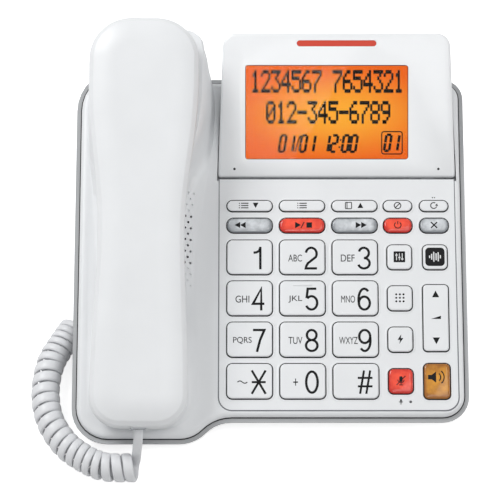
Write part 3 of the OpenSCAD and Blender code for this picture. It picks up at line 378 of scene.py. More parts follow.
def lettering(text, height, width):
    """Built-in font, with its capitals or digits brought to a height and the whole to a width."""
    data = bpy.data.curves.new("lettering", "FONT")
    data.body = text
    source = bpy.data.objects.new("lettering", data)
    bpy.context.scene.collection.objects.link(source)
    mesh = bpy.data.meshes.new_from_object(source.evaluated_get(bpy.context.evaluated_depsgraph_get()))
    points = [(v.co.x, v.co.y) for v in mesh.vertices]
    faces = [tuple(f.vertices) for f in mesh.polygons]
    bpy.data.objects.remove(source)
    bpy.data.curves.remove(data)
    bpy.data.meshes.remove(mesh)
    low = [min(p[i] for p in points) for i in (0, 1)]
    high = [max(p[i] for p in points) for i in (0, 1)]
    sx, sy = width / (high[0] - low[0]), height / (high[1] - low[1])
    return [(sx * (p[0] - (low[0] + high[0]) / 2), sy * (p[1] - low[1])) for p in points], faces


# Shells carried over from the solids, welded, with broken edges
BROKEN_EDGE = 0.00018
SHARP_EDGE = math.radians(32)
WELD = 2e-6
FLAT = math.radians(0.4)


def dressed(node, material=None):
    mesh = bpy.data.meshes.new(node + "_skin")
    tidy = bmesh.new()
    tidy.from_mesh(nodes[node].data)
    bmesh.ops.remove_doubles(tidy, verts=tidy.verts, dist=WELD)
    bmesh.ops.dissolve_limit(tidy, angle_limit=FLAT, verts=tidy.verts, edges=tidy.edges)
    tidy.to_mesh(mesh)
    tidy.free()
    mesh.polygons.foreach_set("use_smooth", [True] * len(mesh.polygons))
    mesh.set_sharp_from_angle(angle=SHARP_EDGE)
    mesh.materials.clear()
    mesh.materials.append(material or materials[slot_of[node]])
    obj = bpy.data.objects.new(node + "_skin", mesh)
    bpy.context.scene.collection.objects.link(obj)
    bevel = obj.modifiers.new("edge", "BEVEL")
    bevel.width = BROKEN_EDGE
    bevel.segments = 2
    bevel.limit_method = "ANGLE"
    bevel.angle_limit = SHARP_EDGE
    bevel.harden_normals = True
    return place_piece(obj, body_of[node], slot_of[node], node)


# Handset cord, on the route of the part's source
CORD_W = 4
LEAD_W = 4.9
CORD_T = 2.4
CORD_SIDES = 14
CORD_SQUARE = 0.7
CURL_W = (3.6, 5.6)
CURL_FILL = 0.9
CURL_GAP = 0.1
LEAD_STEPS = 31
CURL_STEPS = 24
TAIL_STEPS = 20
CURL_TURNS = 21.5
CURL_D = 15
CURL_AXIS = [(-70.5, -116), (-85.7, -115.3), (-96.6, -110.1), (-106.4, -101.8), (-114.2, -88.5),
             (-117, -72.5), (-114.8, -55.5), (-109.2, -44), (-103.8, -35)]
HANDSET_LEAD = [(-68.2, -109.3, 20.5), (-68.7, -111.2, 16), (-69.1, -111.3, 10.5), (-69.4, -110.9, 6.8),
                (-69.9, -111.4, 3.6), (-70.3, -113, 1.8)]
BASE_LEAD = [(-98.6, -39.5, 12.6), (-97.4, -41, 10.6)]
MOUTH_P = -14
SOCKET_N = -14
PLUG_EXIT = 0.7
JACK_OUT = 0.3


def catmull(points, t):
    """Point at share t of a Catmull-Rom curve through the points."""
    ends = [2 * points[0] - points[1], *points, 2 * points[-1] - points[-2]]
    x = t * (len(points) - 1)
    i = min(int(x), len(points) - 2)
    a, b, c, d = ends[i:i + 4]
    f = x - i
    bend, twist = 2 * a - 5 * b + 4 * c - d, 3 * b - a - 3 * c + d
    return 0.5 * (2 * b + (c - a) * f + bend * f * f + twist * f ** 3)


def way(curve, t, step=0.002):
    return (curve(min(t + step, 1)) - curve(max(t - step, 0))).normalized()


def curl_axis(t):
    return catmull([Vector((*p, CURL_D / 2 + 0.1)) for p in CURL_AXIS], t)


def curl(t):
    a = math.pi + 2 * math.pi * CURL_TURNS * t
    along = way(curl_axis, t)
    side = Vector((along.y, -along.x, 0))
    return curl_axis(t) + (CURL_D - CORD_T) / 2 * (math.cos(a) * Vector((0, 0, 1)) + math.sin(a) * side)


def curl_width(t):
    """Width of the cord on the coil: almost the room that the turns leave on the inside of the bend."""
    low, high = max(t - 0.5 / CURL_TURNS, 0), min(t + 0.5 / CURL_TURNS, 1)
    pitch = (curl_axis(high) - curl_axis(low)).length / ((high - low) * CURL_TURNS)
    return min(max(CURL_FILL * pitch - CURL_GAP, CURL_W[0]), CURL_W[1])


def cord_path():
    """Points of the whole cord, in millimetres, with the direction and the size of its width at each."""
    to_mm = to_metres.inverted()
    start = to_mm @ handset @ Vector((0, MOUTH_P - PLUG_EXIT, SOCKET_N))
    out = to_mm @ handset @ Vector((0, MOUTH_P - PLUG_EXIT - CORD_W, SOCKET_N))
    low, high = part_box("cord_base_plug")
    jack = to_mm @ ((low + high) / 2)
    jack.x = to_mm[0][0] * low.x - JACK_OUT
    lead = [start, out, *map(Vector, HANDSET_LEAD), curl(0)]
    tail = [curl(1), curl(1) + CORD_W * way(curl, 1), *map(Vector, BASE_LEAD),
            jack + Vector((-1.2, 0, 0)), jack]
    path = []
    for i in range(LEAD_STEPS):
        t = i / LEAD_STEPS
        path.append((catmull(lead, t), Vector((-1, 0, 0)).lerp(way(curl_axis, 0), t), LEAD_W))
    steps = round(CURL_TURNS * CURL_STEPS)
    for i in range(steps):
        path.append((curl(i / steps), way(curl_axis, i / steps), curl_width(i / steps)))
    for i in range(TAIL_STEPS + 1):
        t = i / TAIL_STEPS
        path.append((catmull(tail, t), way(curl_axis, 1).lerp(Vector((0, 1, 0)), t), CORD_W))
    return path


def make_cord():
    path = cord_path()
    rings = []
    for i, (p, across, width) in enumerate(path):
        ahead = (path[min(i + 1, len(path) - 1)][0] - path[max(i - 1, 0)][0]).normalized()
        n = across.cross(ahead).normalized()
        b = ahead.cross(n)
        section = []
        for s in range(CORD_SIDES):
            a = 2 * math.pi * s / CORD_SIDES
            x = math.copysign(abs(math.cos(a)) ** CORD_SQUARE, math.cos(a))
            y = math.copysign(abs(math.sin(a)) ** CORD_SQUARE, math.sin(a))
            section.append(p + n * CORD_T / 2 * x + b * width / 2 * y)
        rings.append(section)
    jacket = [materials["cord_jacket"]]
    cord = mesh_piece("handset_cord", joined(rings), loft(rings), to_metres, jacket, sharp=60)
    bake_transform(cord)
    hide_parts("cord_handset_lead", "cord_curls", "cord_base_lead")
    dressed("cord_handset_plug")
    dressed("cord_base_plug")


make_cord()


# Handset back, with the plan of the part's source, a crowned top and a crease along its rim
HANDSET_LEN = 215.5
EAR_W = 57
GRIP_W = 44.6
MOUTH_W = 50.2
EAR_R = 22
MOUTH_R = 16
MOUTH_TAPER_P = 2
GRIP_P = 90
EAR_TAPER_P = 165
SIDE_STATIONS = range(6, 178, 3)
BACK_EDGE = [(-0.35, -9.5), (-0.05, -9.15), (0, -8.6), (0, -6), (-0.06, -5.55), (-0.25, -5.15),
             (-0.4, -4.97), (-1.95, -3.25), (-2.12, -3.05), (-2.3, -2.9), (-2.55, -2.76), (-2.8, -2.66),
             (-4.5, -2), (-6.5, -1.35), (-8.5, -0.82), (-11, -0.36), (-13, -0.1), (-14.5, 0)]


def smooth(t):
    c = min(max(t, 0), 1)
    return c * c * (3 - 2 * c)


def grip_half(p):
    if p < GRIP_P:
        return (MOUTH_W + (GRIP_W - MOUTH_W) * smooth((p - MOUTH_TAPER_P) / (GRIP_P - MOUTH_TAPER_P))) / 2
    return (GRIP_W + (EAR_W - GRIP_W) * smooth((p - GRIP_P) / (EAR_TAPER_P - GRIP_P))) / 2


def handset_plan(d):
    ear_p = MOUTH_P + HANDSET_LEN
    right = arc((MOUTH_W / 2 - MOUTH_R, MOUTH_P + MOUTH_R), MOUTH_R + d, -90, 0, 24)
    right += [(grip_half(p) + d, p) for p in SIDE_STATIONS]
    right += arc((EAR_W / 2 - EAR_R, ear_p - EAR_R), EAR_R + d, 0, 90, 28)
    return right + [(-u, p) for u, p in reversed(right)]


def make_handset_back():
    rings = [[(*p, n) for p in handset_plan(d)] for d, n in BACK_EDGE]
    white = [materials["white_plastic"]]
    back = mesh_piece("handset_back", joined(rings), loft(rings), handset, white, sharp=50)
    place_piece(back, "handset", "white_plastic", "handset_outer")


make_handset_back()


# Keys, shaped from the solids' own boxes, with printed legends
FLANGE_OUT = 1
PLATE_TOP_W = 0.3
INK_LIFT = 0.03
BAR_IN = 2.3
BAR_W = 10
BAR_D = 0.9
BAR_R = 0.42
BAR_EDGE = [(0, -0.2), (0, 0.15), (-0.08, 0.26), (-0.22, 0.32)]
DULL_EDGE = [(0, -3.2), (0, -0.75), (0, -0.66), (-0.07, -0.45), (-0.22, -0.2), (-0.5, -0.06), (-1.0, 0)]
GLOSS_EDGE = [(0, -3.2), (0, -0.95), (0, -0.9), (-0.12, -0.6), (-0.4, -0.32), (-0.9, -0.13), (-1.9, 0)]


def local_box(node, place):
    """Lowest and highest corner of a node in a frame of the part's source."""
    back = place.inverted()
    points = [back @ v.co for v in nodes[node].data.vertices]
    return [Vector([f(p[i] for p in points) for i in range(3)]) for f in (min, max)]


def key_piece(node, c, hw, hd, top, corner, edge, print_layers):
    """A cap with painted shade on its walls down in its hole, flat print on its top, and a bar to feel on the
    middle key.
    """
    rings = [[(*p, top + w) for p in rounded(c, hw + d, hd + d, max(corner + d, 0.3))] for d, w in edge]
    verts = joined(rings)
    faces = loft(rings)
    n = len(rings[0])
    mats = [materials[slot_of[node]], materials["gap"]]
    # Painted shade: the cap's lower walls and its underside take the dark finish, for the shade down in its hole
    face_mats = [1] * n + [0] * (n * (len(rings) - 2)) + [1, 0]
    for level, (ink, shape) in enumerate(print_layers):
        first = len(verts)
        verts += [(c[0] + p[0], c[1] + p[1], top + INK_LIFT * (level + 1)) for p in shape[0]]
        faces += [tuple(first + i for i in face) for face in shape[1]]
        face_mats += [len(mats)] * len(shape[1])
        mats.append(materials[ink])
    if node == "key_5":
        spot = (c[0], c[1] + hd - BAR_IN)
        bar = [[(*p, top + w) for p in rounded(spot, BAR_W / 2 + d, BAR_D / 2 + d, BAR_R + d, 4)]
               for d, w in BAR_EDGE]
        bar_faces = loft(bar, len(verts))
        verts += joined(bar)
        faces += bar_faces
        face_mats += [0] * len(bar_faces)
    cap = mesh_piece(node + "_cap", verts, faces, deck, mats, face_mats)
    place_piece(cap, body_of[node], slot_of[node], node)


DIGIT_H = 12.6
DIGIT_W = 7.2
DIGIT_IN = 6.95
DIGIT_UP = 2.3
LETTER_H = 3.8
LETTER_W = 2.4
LETTER_IN = 7.9
LETTER_UP = 6.7
DIGIT_STROKE = 1.28
STAR_STROKE = 1.15
HASH_STROKE = 1.1
HASH_W = 7.6
WAVE_STROKE = 0.5
DIAL = {"key_1": ("1", ""), "key_2": ("2", "ABC"), "key_3": ("3", "DEF"), "key_4": ("4", "GHI"),
        "key_5": ("5", "JKL"), "key_6": ("6", "MNO"), "key_7": ("7", "PQRS"), "key_8": ("8", "TUV"),
        "key_9": ("9", "WXYZ"), "key_star": ("*", "~"), "key_0": ("0", "+"), "key_hash": ("#", "")}


def ring(x, y, rx, ry, steps=32):
    return oval(x, y, rx, ry, 0, 360 - 360 / steps, steps - 1)


# Lines of each digit in a field two wide and two high: open ones, then closed ones
SIX = ([oval(0, 1, 1, 1, 48, 180)[:-1] + [(-1, 0.95), (-0.98, 0.7)]], [ring(0, 0.62, 0.96, 0.62)])
DIGITS = {
    "0": ([], [ring(0, 1, 1, 1)]),
    "1": ([[(-0.9, 1.52), (-0.35, 1.56), (0.1, 1.7), (0.3, 2)], [(0.3, 2.09), (0.3, -0.09)]], []),
    "2": ([oval(0, 1.42, 0.95, 0.58, 170, -35) + [(-0.6, 0.5), (-0.9, 0.2), (-0.98, 0), (1, 0)]], []),
    "3": ([oval(0, 1.5, 0.88, 0.5, 165, -90), oval(0, 0.5, 1, 0.5, 90, -165)], []),
    "4": ([[(0.45, -0.09), (0.45, 2), (-1, 0.55), (1, 0.55)]], []),
    "5": ([[(0.85, 2), (-0.65, 2), (-0.85, 1.1)], oval(0, 0.64, 1, 0.64, 138, -155)], []),
    "6": SIX,
    "7": ([[(-1, 2), (1, 2), (0.25, 1.05), (-0.3, -0.09)]], []),
    "8": ([], [ring(0, 1.52, 0.84, 0.48), ring(0, 0.52, 1, 0.52)]),
    "9": tuple([[(-x, 2 - y) for x, y in line] for line in lines] for lines in SIX),
}


def numeral(digit):
    sx, sy = (DIGIT_W - DIGIT_STROKE) / 2, (DIGIT_H - DIGIT_STROKE) / 2
    return merged(*[stroke([(sx * x, sy * y + DIGIT_STROKE / 2) for x, y in line], DIGIT_STROKE, closed)
                    for closed, lines in enumerate(DIGITS[digit]) for line in lines])


def star(height, width):
    x, y, w = width / 2, height / 2, STAR_STROKE
    return merged(stroke([(-x, -y), (x, y)], w), stroke([(-x, y), (x, -y)], w), stroke([(-x, 0), (x, 0)], w))


def hash_sign(height, width):
    x, y, w = width / 2, height / 2, HASH_STROKE
    bars = [stroke([(-x, s * y * 0.36), (x, s * y * 0.36)], w) for s in (-1, 1)]
    posts = [stroke([(s * x * 0.42 - x * 0.28, -y), (s * x * 0.42 + x * 0.28, y)], w) for s in (-1, 1)]
    return merged(*bars, *posts)


def dial_print(digit, letters, hw, hd):
    u, v = hw - DIGIT_IN, DIGIT_UP - hd
    if digit == "*":
        shape = moved(star(DIGIT_H, DIGIT_W), u, v + DIGIT_H / 2)
    elif digit == "#":
        shape = moved(hash_sign(DIGIT_H, HASH_W), u, v + DIGIT_H / 2)
    else:
        shape = moved(numeral(digit), u, v)
    layers = [("ink", shape)]
    if letters == "~":
        wave = [(0.32 * i - 2.56, 0.62 * math.sin(math.pi * i / 8)) for i in range(17)]
        middle = LETTER_UP - hd + LETTER_H / 2
        layers.append(("soft_ink", moved(stroke(wave, WAVE_STROKE), LETTER_IN - hw, middle)))
    elif letters:
        word = lettering(letters, LETTER_H, LETTER_W * len(letters))
        layers.append(("soft_ink", moved(word, LETTER_IN - hw, LETTER_UP - hd)))
    return layers


def up_mark(u):
    return poly((u - 1.2, -1.1), (u + 1.2, -1.1), (u, 1.25))


def down_mark(u):
    return poly((u - 1.2, 1.25), (u, -1.1), (u + 1.2, 1.25))


def list_mark(u):
    rows = [stroke([(u - 1.1, v), (u + 2, v)], 0.42) for v in (-1, 0, 1)]
    dots = [stroke([(u - 2, v), (u - 1.55, v)], 0.42) for v in (-1, 0, 1)]
    return merged(*rows, *dots)


def page_mark(u):
    spine = stroke([(u - 0.6, -1.4), (u - 0.6, 1.4)], 0.36)
    return merged(stroke(rounded((u, 0), 1.3, 1.4, 0.3, 3), 0.36, True), spine)


def turn_mark():
    return merged(stroke(arc((0, 0), 1.35, 60, 340), 0.42), triangle((1.3, 0.25), 0.75, 75))


def ring_mark():
    return merged(stroke(arc((0, 0), 1.5, 125, 415, 24), 0.42), stroke([(0, 0.4), (0, 1.9)], 0.42))


def cross_mark():
    r = 1.35
    return merged(stroke([(-r, -r), (r, r)], 0.55), stroke([(-r, r), (r, -r)], 0.55))


def no_mark():
    return merged(stroke(arc((0, 0), 1.45, 0, 337.5, 15), 0.4, True), stroke([(-1, -1), (1, 1)], 0.4))


def run_mark(turn_by):
    return merged(*[triangle((u, 0), 1.5, turn_by) for u in (-1.1, 1.1)])


def play_mark():
    stop = poly((1.9, -1.2), (4.3, -1.2), (4.3, 1.2), (1.9, 1.2))
    return merged(triangle((-2.2, 0), 1.7), stroke([(-0.5, -1.4), (0.9, 1.4)], 0.4), stop)


def slider_mark():
    lines = [stroke([(u, -1.9), (u, 1.9)], 0.4) for u in (-1.5, 0, 1.5)]
    knobs = [poly((u - 0.55, v - 0.35), (u + 0.55, v - 0.35), (u + 0.55, v + 0.35), (u - 0.55, v + 0.35))
             for u, v in ((-1.5, 0.9), (0, -0.4), (1.5, -1.2))]
    return merged(*lines, *knobs)


def dots_mark():
    places = [(1.9 * i, 1.9 * j) for i in (-1, 0, 1) for j in (-1, 0, 1)]
    return merged(*[poly(*arc(place, 0.55, 0, 330, 11)) for place in places])


def bolt_mark():
    return poly((0.4, 2.6), (-1.5, -0.4), (-0.2, -0.4), (-0.6, -2.6), (1.5, 0.6), (0.2, 0.6))


def mic_sign():
    capsule = poly(*rounded((0, 0.9), 0.85, 1.6, 0.84, 5))
    return merged(capsule, stroke(arc((0, 0.6), 1.6, 180, 360), 0.4), stroke([(0, -1), (0, -2.2)], 0.4),
                  stroke([(-1.1, -2.2), (1.1, -2.2)], 0.4))


def mute_mark():
    return merged(mic_sign(), stroke([(-2.3, -2.2), (2.3, 2.6)], 0.45))


def wave_mark():
    return merged(*[stroke([(u, -h), (u, h)], 0.62) for u, h in
                    ((-2.8, 0.7), (-1.7, 1.6), (-0.6, 2.7), (0.6, 1.9), (1.7, 2.5), (2.8, 0.9))])


def cone_mark():
    cone = poly((-3.6, -0.9), (-2.2, -0.9), (-0.4, -2.3), (-0.4, 2.3), (-2.2, 0.9), (-3.6, 0.9))
    return merged(cone, *[stroke(arc((-0.6, 0), r, -48, 48), 0.45) for r in (2, 3.4)])


def panel_mark(half, corner):
    return poly(*rounded((0, 0), half, half, corner))


PRINTS = {
    "caller_list_key": [("ink", moved(merged(list_mark(-2.5), down_mark(2.5)), 0, 0, 1.25))],
    "menu_key": [("ink", moved(list_mark(0), 0, 0, 1.25))],
    "directory_key": [("ink", moved(merged(page_mark(-2.5), up_mark(2.5)), 0, 0, 1.25))],
    "cancel_key": [("ink", moved(no_mark(), 0, 0, 1.2))],
    "redial_key": [("ink", moved(turn_mark(), 0, 0, 1.2))],
    "repeat_key": [("ink", moved(run_mark(180), -4.5, 0, 1.3))],
    "play_key": [("ink", moved(play_mark(), 0, 0, 1.2))],
    "skip_key": [("ink", moved(run_mark(0), 3, 0, 1.3))],
    "answer_key": [("ink", moved(ring_mark(), 0, 0, 1.15))],
    "delete_key": [("ink", moved(cross_mark(), 0, 0, 1.2))],
    "equalizer_key": [("ink", panel_mark(3, 0.3)), ("pale_ink", slider_mark())],
    "speed_dial_key": [("ink", dots_mark())],
    "flash_key": [("ink", bolt_mark())],
    "mute_key": [("ink", mute_mark())],
    "audio_key": [("ink", panel_mark(5.05, 2.1)), ("pale_ink", wave_mark())],
    "speaker_key": [("ink", moved(cone_mark(), 0, 2, 1.3))],
}
CORNERS = {"redial_key": 2.8, "cancel_key": 2.8, "menu_key": 2.8, "caller_list_key": 2.8,
           "directory_key": 2.8, "repeat_key": 3.4, "play_key": 3.4, "skip_key": 3.4, "answer_key": 3.4,
           "delete_key": 3.4, "speaker_key": 2.4}
DIAL_CORNER = 2.8
SQUARE_CORNER = 2.6
# Painted shade: the first steps of a collar, down into its hole, take the dark finish
COLLAR = [(0.28, -0.6), (0.28, 0.02), (0.6, 0.02), (0.6, 0.12), (0.7, 0.18), (1.3, 0.18), (1.65, 0.02),
          (1.65, -0.2)]
PAINTED_SHADE_STEPS = 3
ROCKER_W = 13
ROCKER_CORNER = 2
ROCKER_MARK_IN = 5.2
PAUSE_UP = 4.4
MIC_LEFT = 5


def collar(c, hw, hd, corner):
    """Low raised rim that the faceplate carries round a key hole."""
    rings = [[(*p, PLATE_TOP_W + w) for p in rounded(c, hw + d, hd + d, corner + d)] for d, w in COLLAR]
    n = len(rings[0])
    faces = [(j * n + i, (j + 1) * n + i, (j + 1) * n + (i + 1) % n, j * n + (i + 1) % n)
             for j in range(len(rings) - 1) for i in range(n)]
    return joined(rings), faces


def shade_of(count):
    """Material of each face of a collar: painted shade down in its hole, white outside it."""
    dark = count * PAINTED_SHADE_STEPS // (len(COLLAR) - 1)
    return [1] * dark + [0] * (count - dark)


def make_keys():
    collars = []
    for name, group in record["behaviour"]["bodies"].items():
        if not name.endswith("_body"):
            continue
        node = group[0]
        low, high = local_box(node, deck)
        c = ((low.x + high.x) / 2, (low.y + high.y) / 2)
        hw, hd = (high.x - low.x) / 2 - FLANGE_OUT, (high.y - low.y) / 2 - FLANGE_OUT
        corner = DIAL_CORNER if node in DIAL else CORNERS.get(node, SQUARE_CORNER)
        layers = dial_print(*DIAL[node], hw, hd) if node in DIAL else PRINTS[node]
        edge = DULL_EDGE if slot_of[node] == "white_plastic" else GLOSS_EDGE
        key_piece(node, c, hw, hd, high.z, corner, edge, layers)
        collars.append(collar(c, hw, hd, corner))
    low, high = local_box("volume_rocker", deck)
    c = ((low.x + high.x) / 2, (low.y + high.y) / 2)
    hd = (high.y - low.y) / 2
    wedge = poly((-2.6, -0.75), (2.6, -0.75), (2.6, 0.95))
    v = hd - ROCKER_MARK_IN
    marks = merged(moved(up_mark(0), 0, v, 1.55), moved(down_mark(0), 0, -v, 1.55), wedge)
    key_piece("volume_rocker", c, ROCKER_W / 2, hd, high.z, ROCKER_CORNER, DULL_EDGE, [("ink", marks)])
    collars.append(collar(c, ROCKER_W / 2, hd, ROCKER_CORNER))
    verts, faces = merged(*collars)
    shades = [mat for points, rim in collars for mat in shade_of(len(rim))]
    mats = [materials["white_plastic"], materials["gap"]]
    rims = mesh_piece("key_collars", verts, faces, deck, mats, shades)
    place_piece(rims, "base", "white_plastic")


def make_plate_marks():
    """Two plain signs printed on the faceplate: pause bars over the redial key, a microphone by its hole."""
    low, high = local_box("redial_key", deck)
    u, v = (low.x + high.x) / 2, (low.y + high.y) / 2 + PAUSE_UP
    bars = [stroke([(u + side * 0.55, v - 0.75), (u + side * 0.55, v + 0.75)], 0.5) for side in (-1, 1)]
    low, high = local_box("base_microphone", deck)
    sign = moved(mic_sign(), (low.x + high.x) / 2 - MIC_LEFT, (low.y + high.y) / 2, 0.55)
    verts, faces = merged(*bars, sign)
    marks = mesh_piece("plate_marks", [(*p, PLATE_TOP_W + INK_LIFT) for p in verts], faces, deck,
                       [materials["soft_ink"]])
    place_piece(marks, "base", "white_plastic")


make_keys()
make_plate_marks()


# Display: backlit panel with plain figures, clear lens and moulding marks
FACE_M = 4.5
DOT_U = 1
DOT_V = 1.68
DOT_FILL = 1.18
GLYPHS = {
    "0": ".###.|#...#|#..##|#.#.#|##..#|#...#|.###.",
    "1": "..#..|.##..|..#..|..#..|..#..|..#..|.###.",
    "2": ".###.|#...#|....#|...#.|..#..|.#...|#####",
    "3": "#####|...#.|..#..|...#.|....#|#...#|.###.",
    "4": "...#.|..##.|.#.#.|#..#.|#####|...#.|...#.",
    "5": "#####|#....|####.|....#|....#|#...#|.###.",
    "6": "..##.|.#...|#....|####.|#...#|#...#|.###.",
    "7": "#####|....#|...#.|..#..|.#...|.#...|.#...",
    "8": ".###.|#...#|#...#|.###.|#...#|#...#|.###.",
    "9": ".###.|#...#|#...#|.####|....#|...#.|.##..",
    "-": ".....|.....|.....|#####|.....|.....|.....",
    " ": ".....|.....|.....|.....|.....|.....|.....",
}
SEGMENTS = {"0": "abcdef", "1": "bc", "2": "abdeg"}
SEGMENT_ENDS = {"a": ((0, 2), (1, 2)), "b": ((1, 2), (1, 1)), "c": ((1, 1), (1, 0)),
                "d": ((0, 0), (1, 0)), "e": ((0, 1), (0, 0)), "f": ((0, 2), (0, 1)), "g": ((0, 1), (1, 1))}
SEGMENT_STROKE = 1.4
SEGMENT_CUT = 0.22
SLANT = 0.16
SCREEN_W = 85.9
SCREEN_H = 49.7
SCREEN_CORNER = 1
# Text, place from the screen's upper left corner, then pitch, or height, width and step
DOT_ROWS = [("1234567 7654321", 2.8, 2.8, 5.4), ("012-345-6789", 10.9, 19.1, 5.5)]
SEGMENT_ROWS = [("01/01", 17.6, 45.6, 8.6, 2.9, 4.3), ("12:00", 40.5, 45.6, 8.6, 2.9, 4.3),
                ("01", 73.2, 45.1, 8.4, 2.7, 4.2)]
COUNT_BOX = (77.4, 40.9)
COUNT_HALF = (5.4, 5.9)
COUNT_CORNER = 1.2
COUNT_STROKE = 0.6
GLASS_SINK = 0.06
FIGURE_SINK = 0.03
MARK_PLACES = [(-18.8, 2.6), (88.6, 2.6)]
MARK_R = 0.65
MARK_LIFT = 0.02


def dot_row(text, left, top, pitch):
    """A row of five by seven dot characters, from its upper left corner."""
    dots = []
    for k, sign in enumerate(text):
        for j, line in enumerate(GLYPHS[sign].split("|")):
            for i, dot in enumerate(line):
                if dot == "#":
                    u, v = left + k * pitch + i * DOT_U, top - (j + 1) * DOT_V
                    w, h = DOT_U * DOT_FILL, DOT_V * DOT_FILL
                    dots.append(poly((u, v), (u + w, v), (u + w, v + h), (u, v + h)))
    return merged(*dots)


def segment_row(text, left, foot, height, width, step):
    """Slanted seven-segment figures, with a stroke for a slash and two points for a colon."""
    bars = []
    u = left

    def lean(x, y):
        return u + x + SLANT * y, foot + y

    for sign in text:
        if sign == "/":
            bars.append(stroke([lean(0, 0), lean(1.4, height)], 0.7))
            u += step * 0.55
        elif sign == ":":
            bars += [poly(*arc(lean(0.2, height * f), 0.5, 0, 330, 11)) for f in (0.28, 0.72)]
            u += step * 0.4
        else:
            for name in SEGMENTS[sign]:
                (x0, y0), (x1, y1) = SEGMENT_ENDS[name]
                a, b = Vector((x0 * width, y0 * height / 2)), Vector((x1 * width, y1 * height / 2))
                cut = (b - a).normalized() * SEGMENT_CUT
                bars.append(stroke([lean(*(a + cut)), lean(*(b - cut))], SEGMENT_STROKE))
            u += step
    return merged(*bars)


def make_screen():
    low, high = local_box("lcd_panel", panel)
    c = ((low.x + high.x) / 2, (low.y + high.y) / 2)
    hw, hd = (high.x - low.x) / 2, (high.y - low.y) / 2
    rings = [[(*p, w) for p in rounded(c, hw, hd, SCREEN_CORNER, 4)] for w in (low.z, high.z - GLASS_SINK)]
    glass = mesh_piece("lcd_glass", joined(rings), loft(rings), panel, [materials["lcd"]])
    place_piece(glass, "display", "lcd", "lcd_panel")
    level = high.z - FIGURE_SINK
    low, high = local_box("display_window", panel)
    left, top = (low.x + high.x) / 2 - SCREEN_W / 2, (low.y + high.y) / 2 + SCREEN_H / 2
    shapes = [dot_row(text, left + u, top - v, pitch) for text, u, v, pitch in DOT_ROWS]
    shapes += [segment_row(text, left + u, top - v, *sizes) for text, u, v, *sizes in SEGMENT_ROWS]
    middle = (left + COUNT_BOX[0], top - COUNT_BOX[1])
    shapes.append(stroke(rounded(middle, *COUNT_HALF, COUNT_CORNER, 4), COUNT_STROKE, True))
    points, faces = merged(*shapes)
    verts = [(*p, level) for p in points]
    figures = mesh_piece("lcd_figures", verts, faces, panel, [materials["figure"]])
    place_piece(figures, "display", "lcd")


def make_marks():
    """Two small gate marks low on the display bezel."""
    points, faces = merged(*[poly(*arc(p, MARK_R, 0, 340, 17)) for p in MARK_PLACES])
    verts = [(*p, FACE_M + MARK_LIFT) for p in points]
    marks = mesh_piece("bezel_marks", verts, faces, panel, [materials["soft_ink"]])
    place_piece(marks, "display", "white_plastic")


make_screen()
make_marks()


# Painted shade: dark bands laid in the housing's seam, round the faceplate and round the display opening, where
# shade falls, each with its inner and outer reach from an outline of the solids and its lower and upper height
SEAM_W = -2.8
SEAM_SHADE_BAND = (-0.5, 0.5, -3.15, -2.95)
PLATE_SHADE_BAND = (-0.1, 0.65, -0.2, 0.03)
WINDOW_SHADE_BAND = (-0.35, 0.05, -0.2, 0.03)
LEVEL_SLACK = 0.02


def outer_loop(node, place, level):
    """Longest edge loop of a node's flat faces at one height of a frame, counter-clockwise."""
    back = place.inverted()
    points = [back @ v.co for v in nodes[node].data.vertices]
    edges = {}
    for face in nodes[node].data.polygons:
        if all(abs(points[i].z - level) < LEVEL_SLACK for i in face.vertices):
            corners = [(round(points[i].x, 3), round(points[i].y, 3)) for i in face.vertices]
            edges.update(dict.fromkeys(zip(corners, corners[1:] + corners[:1])))
    after = {a: b for a, b in edges if (b, a) not in edges}
    loops = []
    while after:
        start = next(iter(after))
        loop = [start]
        step = after.pop(start)
        while step != start and step in after:
            loop.append(step)
            step = after.pop(step)
        loops.append(loop)
    loop = max(loops, key=lambda line: max(p[0] for p in line) - min(p[0] for p in line))
    area = sum(a[0] * b[1] - b[0] * a[1] for a, b in zip(loop, loop[1:] + loop[:1]))
    return loop if area > 0 else loop[::-1]


def make_shade_band(name, body, place, loop, sizes, material):
    inner, outer, low, high = sizes
    n = len(loop)
    ways = [(Vector(loop[(i + 1) % n]) - Vector(loop[i - 1])).normalized() for i in range(n)]
    corners = ((outer, low), (outer, high), (inner, high), (inner, low))
    verts = [(p[0] + d * w.y, p[1] - d * w.x, z) for d, z in corners for p, w in zip(loop, ways)]
    faces = [(j * n + i, j * n + (i + 1) % n, (j + 1) % 4 * n + (i + 1) % n, (j + 1) % 4 * n + i)
             for j in range(4) for i in range(n)]
    band = mesh_piece(name, verts, faces, place, [materials[material]])
    place_piece(band, body, "dark_plastic")


def make_shade_bands():
    # Painted shade along the seam, round the faceplate and round the display opening
    seam = outer_loop("top_housing", deck, SEAM_W)
    make_shade_band("seam_shade_band", "base", deck, seam, SEAM_SHADE_BAND, "gap")
    plate = outer_loop("keypad_faceplate", deck, PLATE_TOP_W)
    make_shade_band("plate_shade_band", "base", deck, plate, PLATE_SHADE_BAND, "painted_seam_shade")
    low, high = local_box("display_window", panel)
    opening = rounded((low + high) / 2, SCREEN_W / 2, SCREEN_H / 2, SCREEN_CORNER, 4)
    face = panel @ shift(0, 0, high.z)
    make_shade_band("window_shade_band", "display", face, opening, WINDOW_SHADE_BAND, "gap")


make_shade_bands()


# Painted shade: dark walls of the speaker holes down the right flank
HOLE_S = 98
HOLE_STEP = 3.15
HOLE_ROWS = 4
HOLE_REACH = 0.68
HOLE_AXIS = Vector((0.75, 0, 0.66))
HOLE_WALL = 0.6


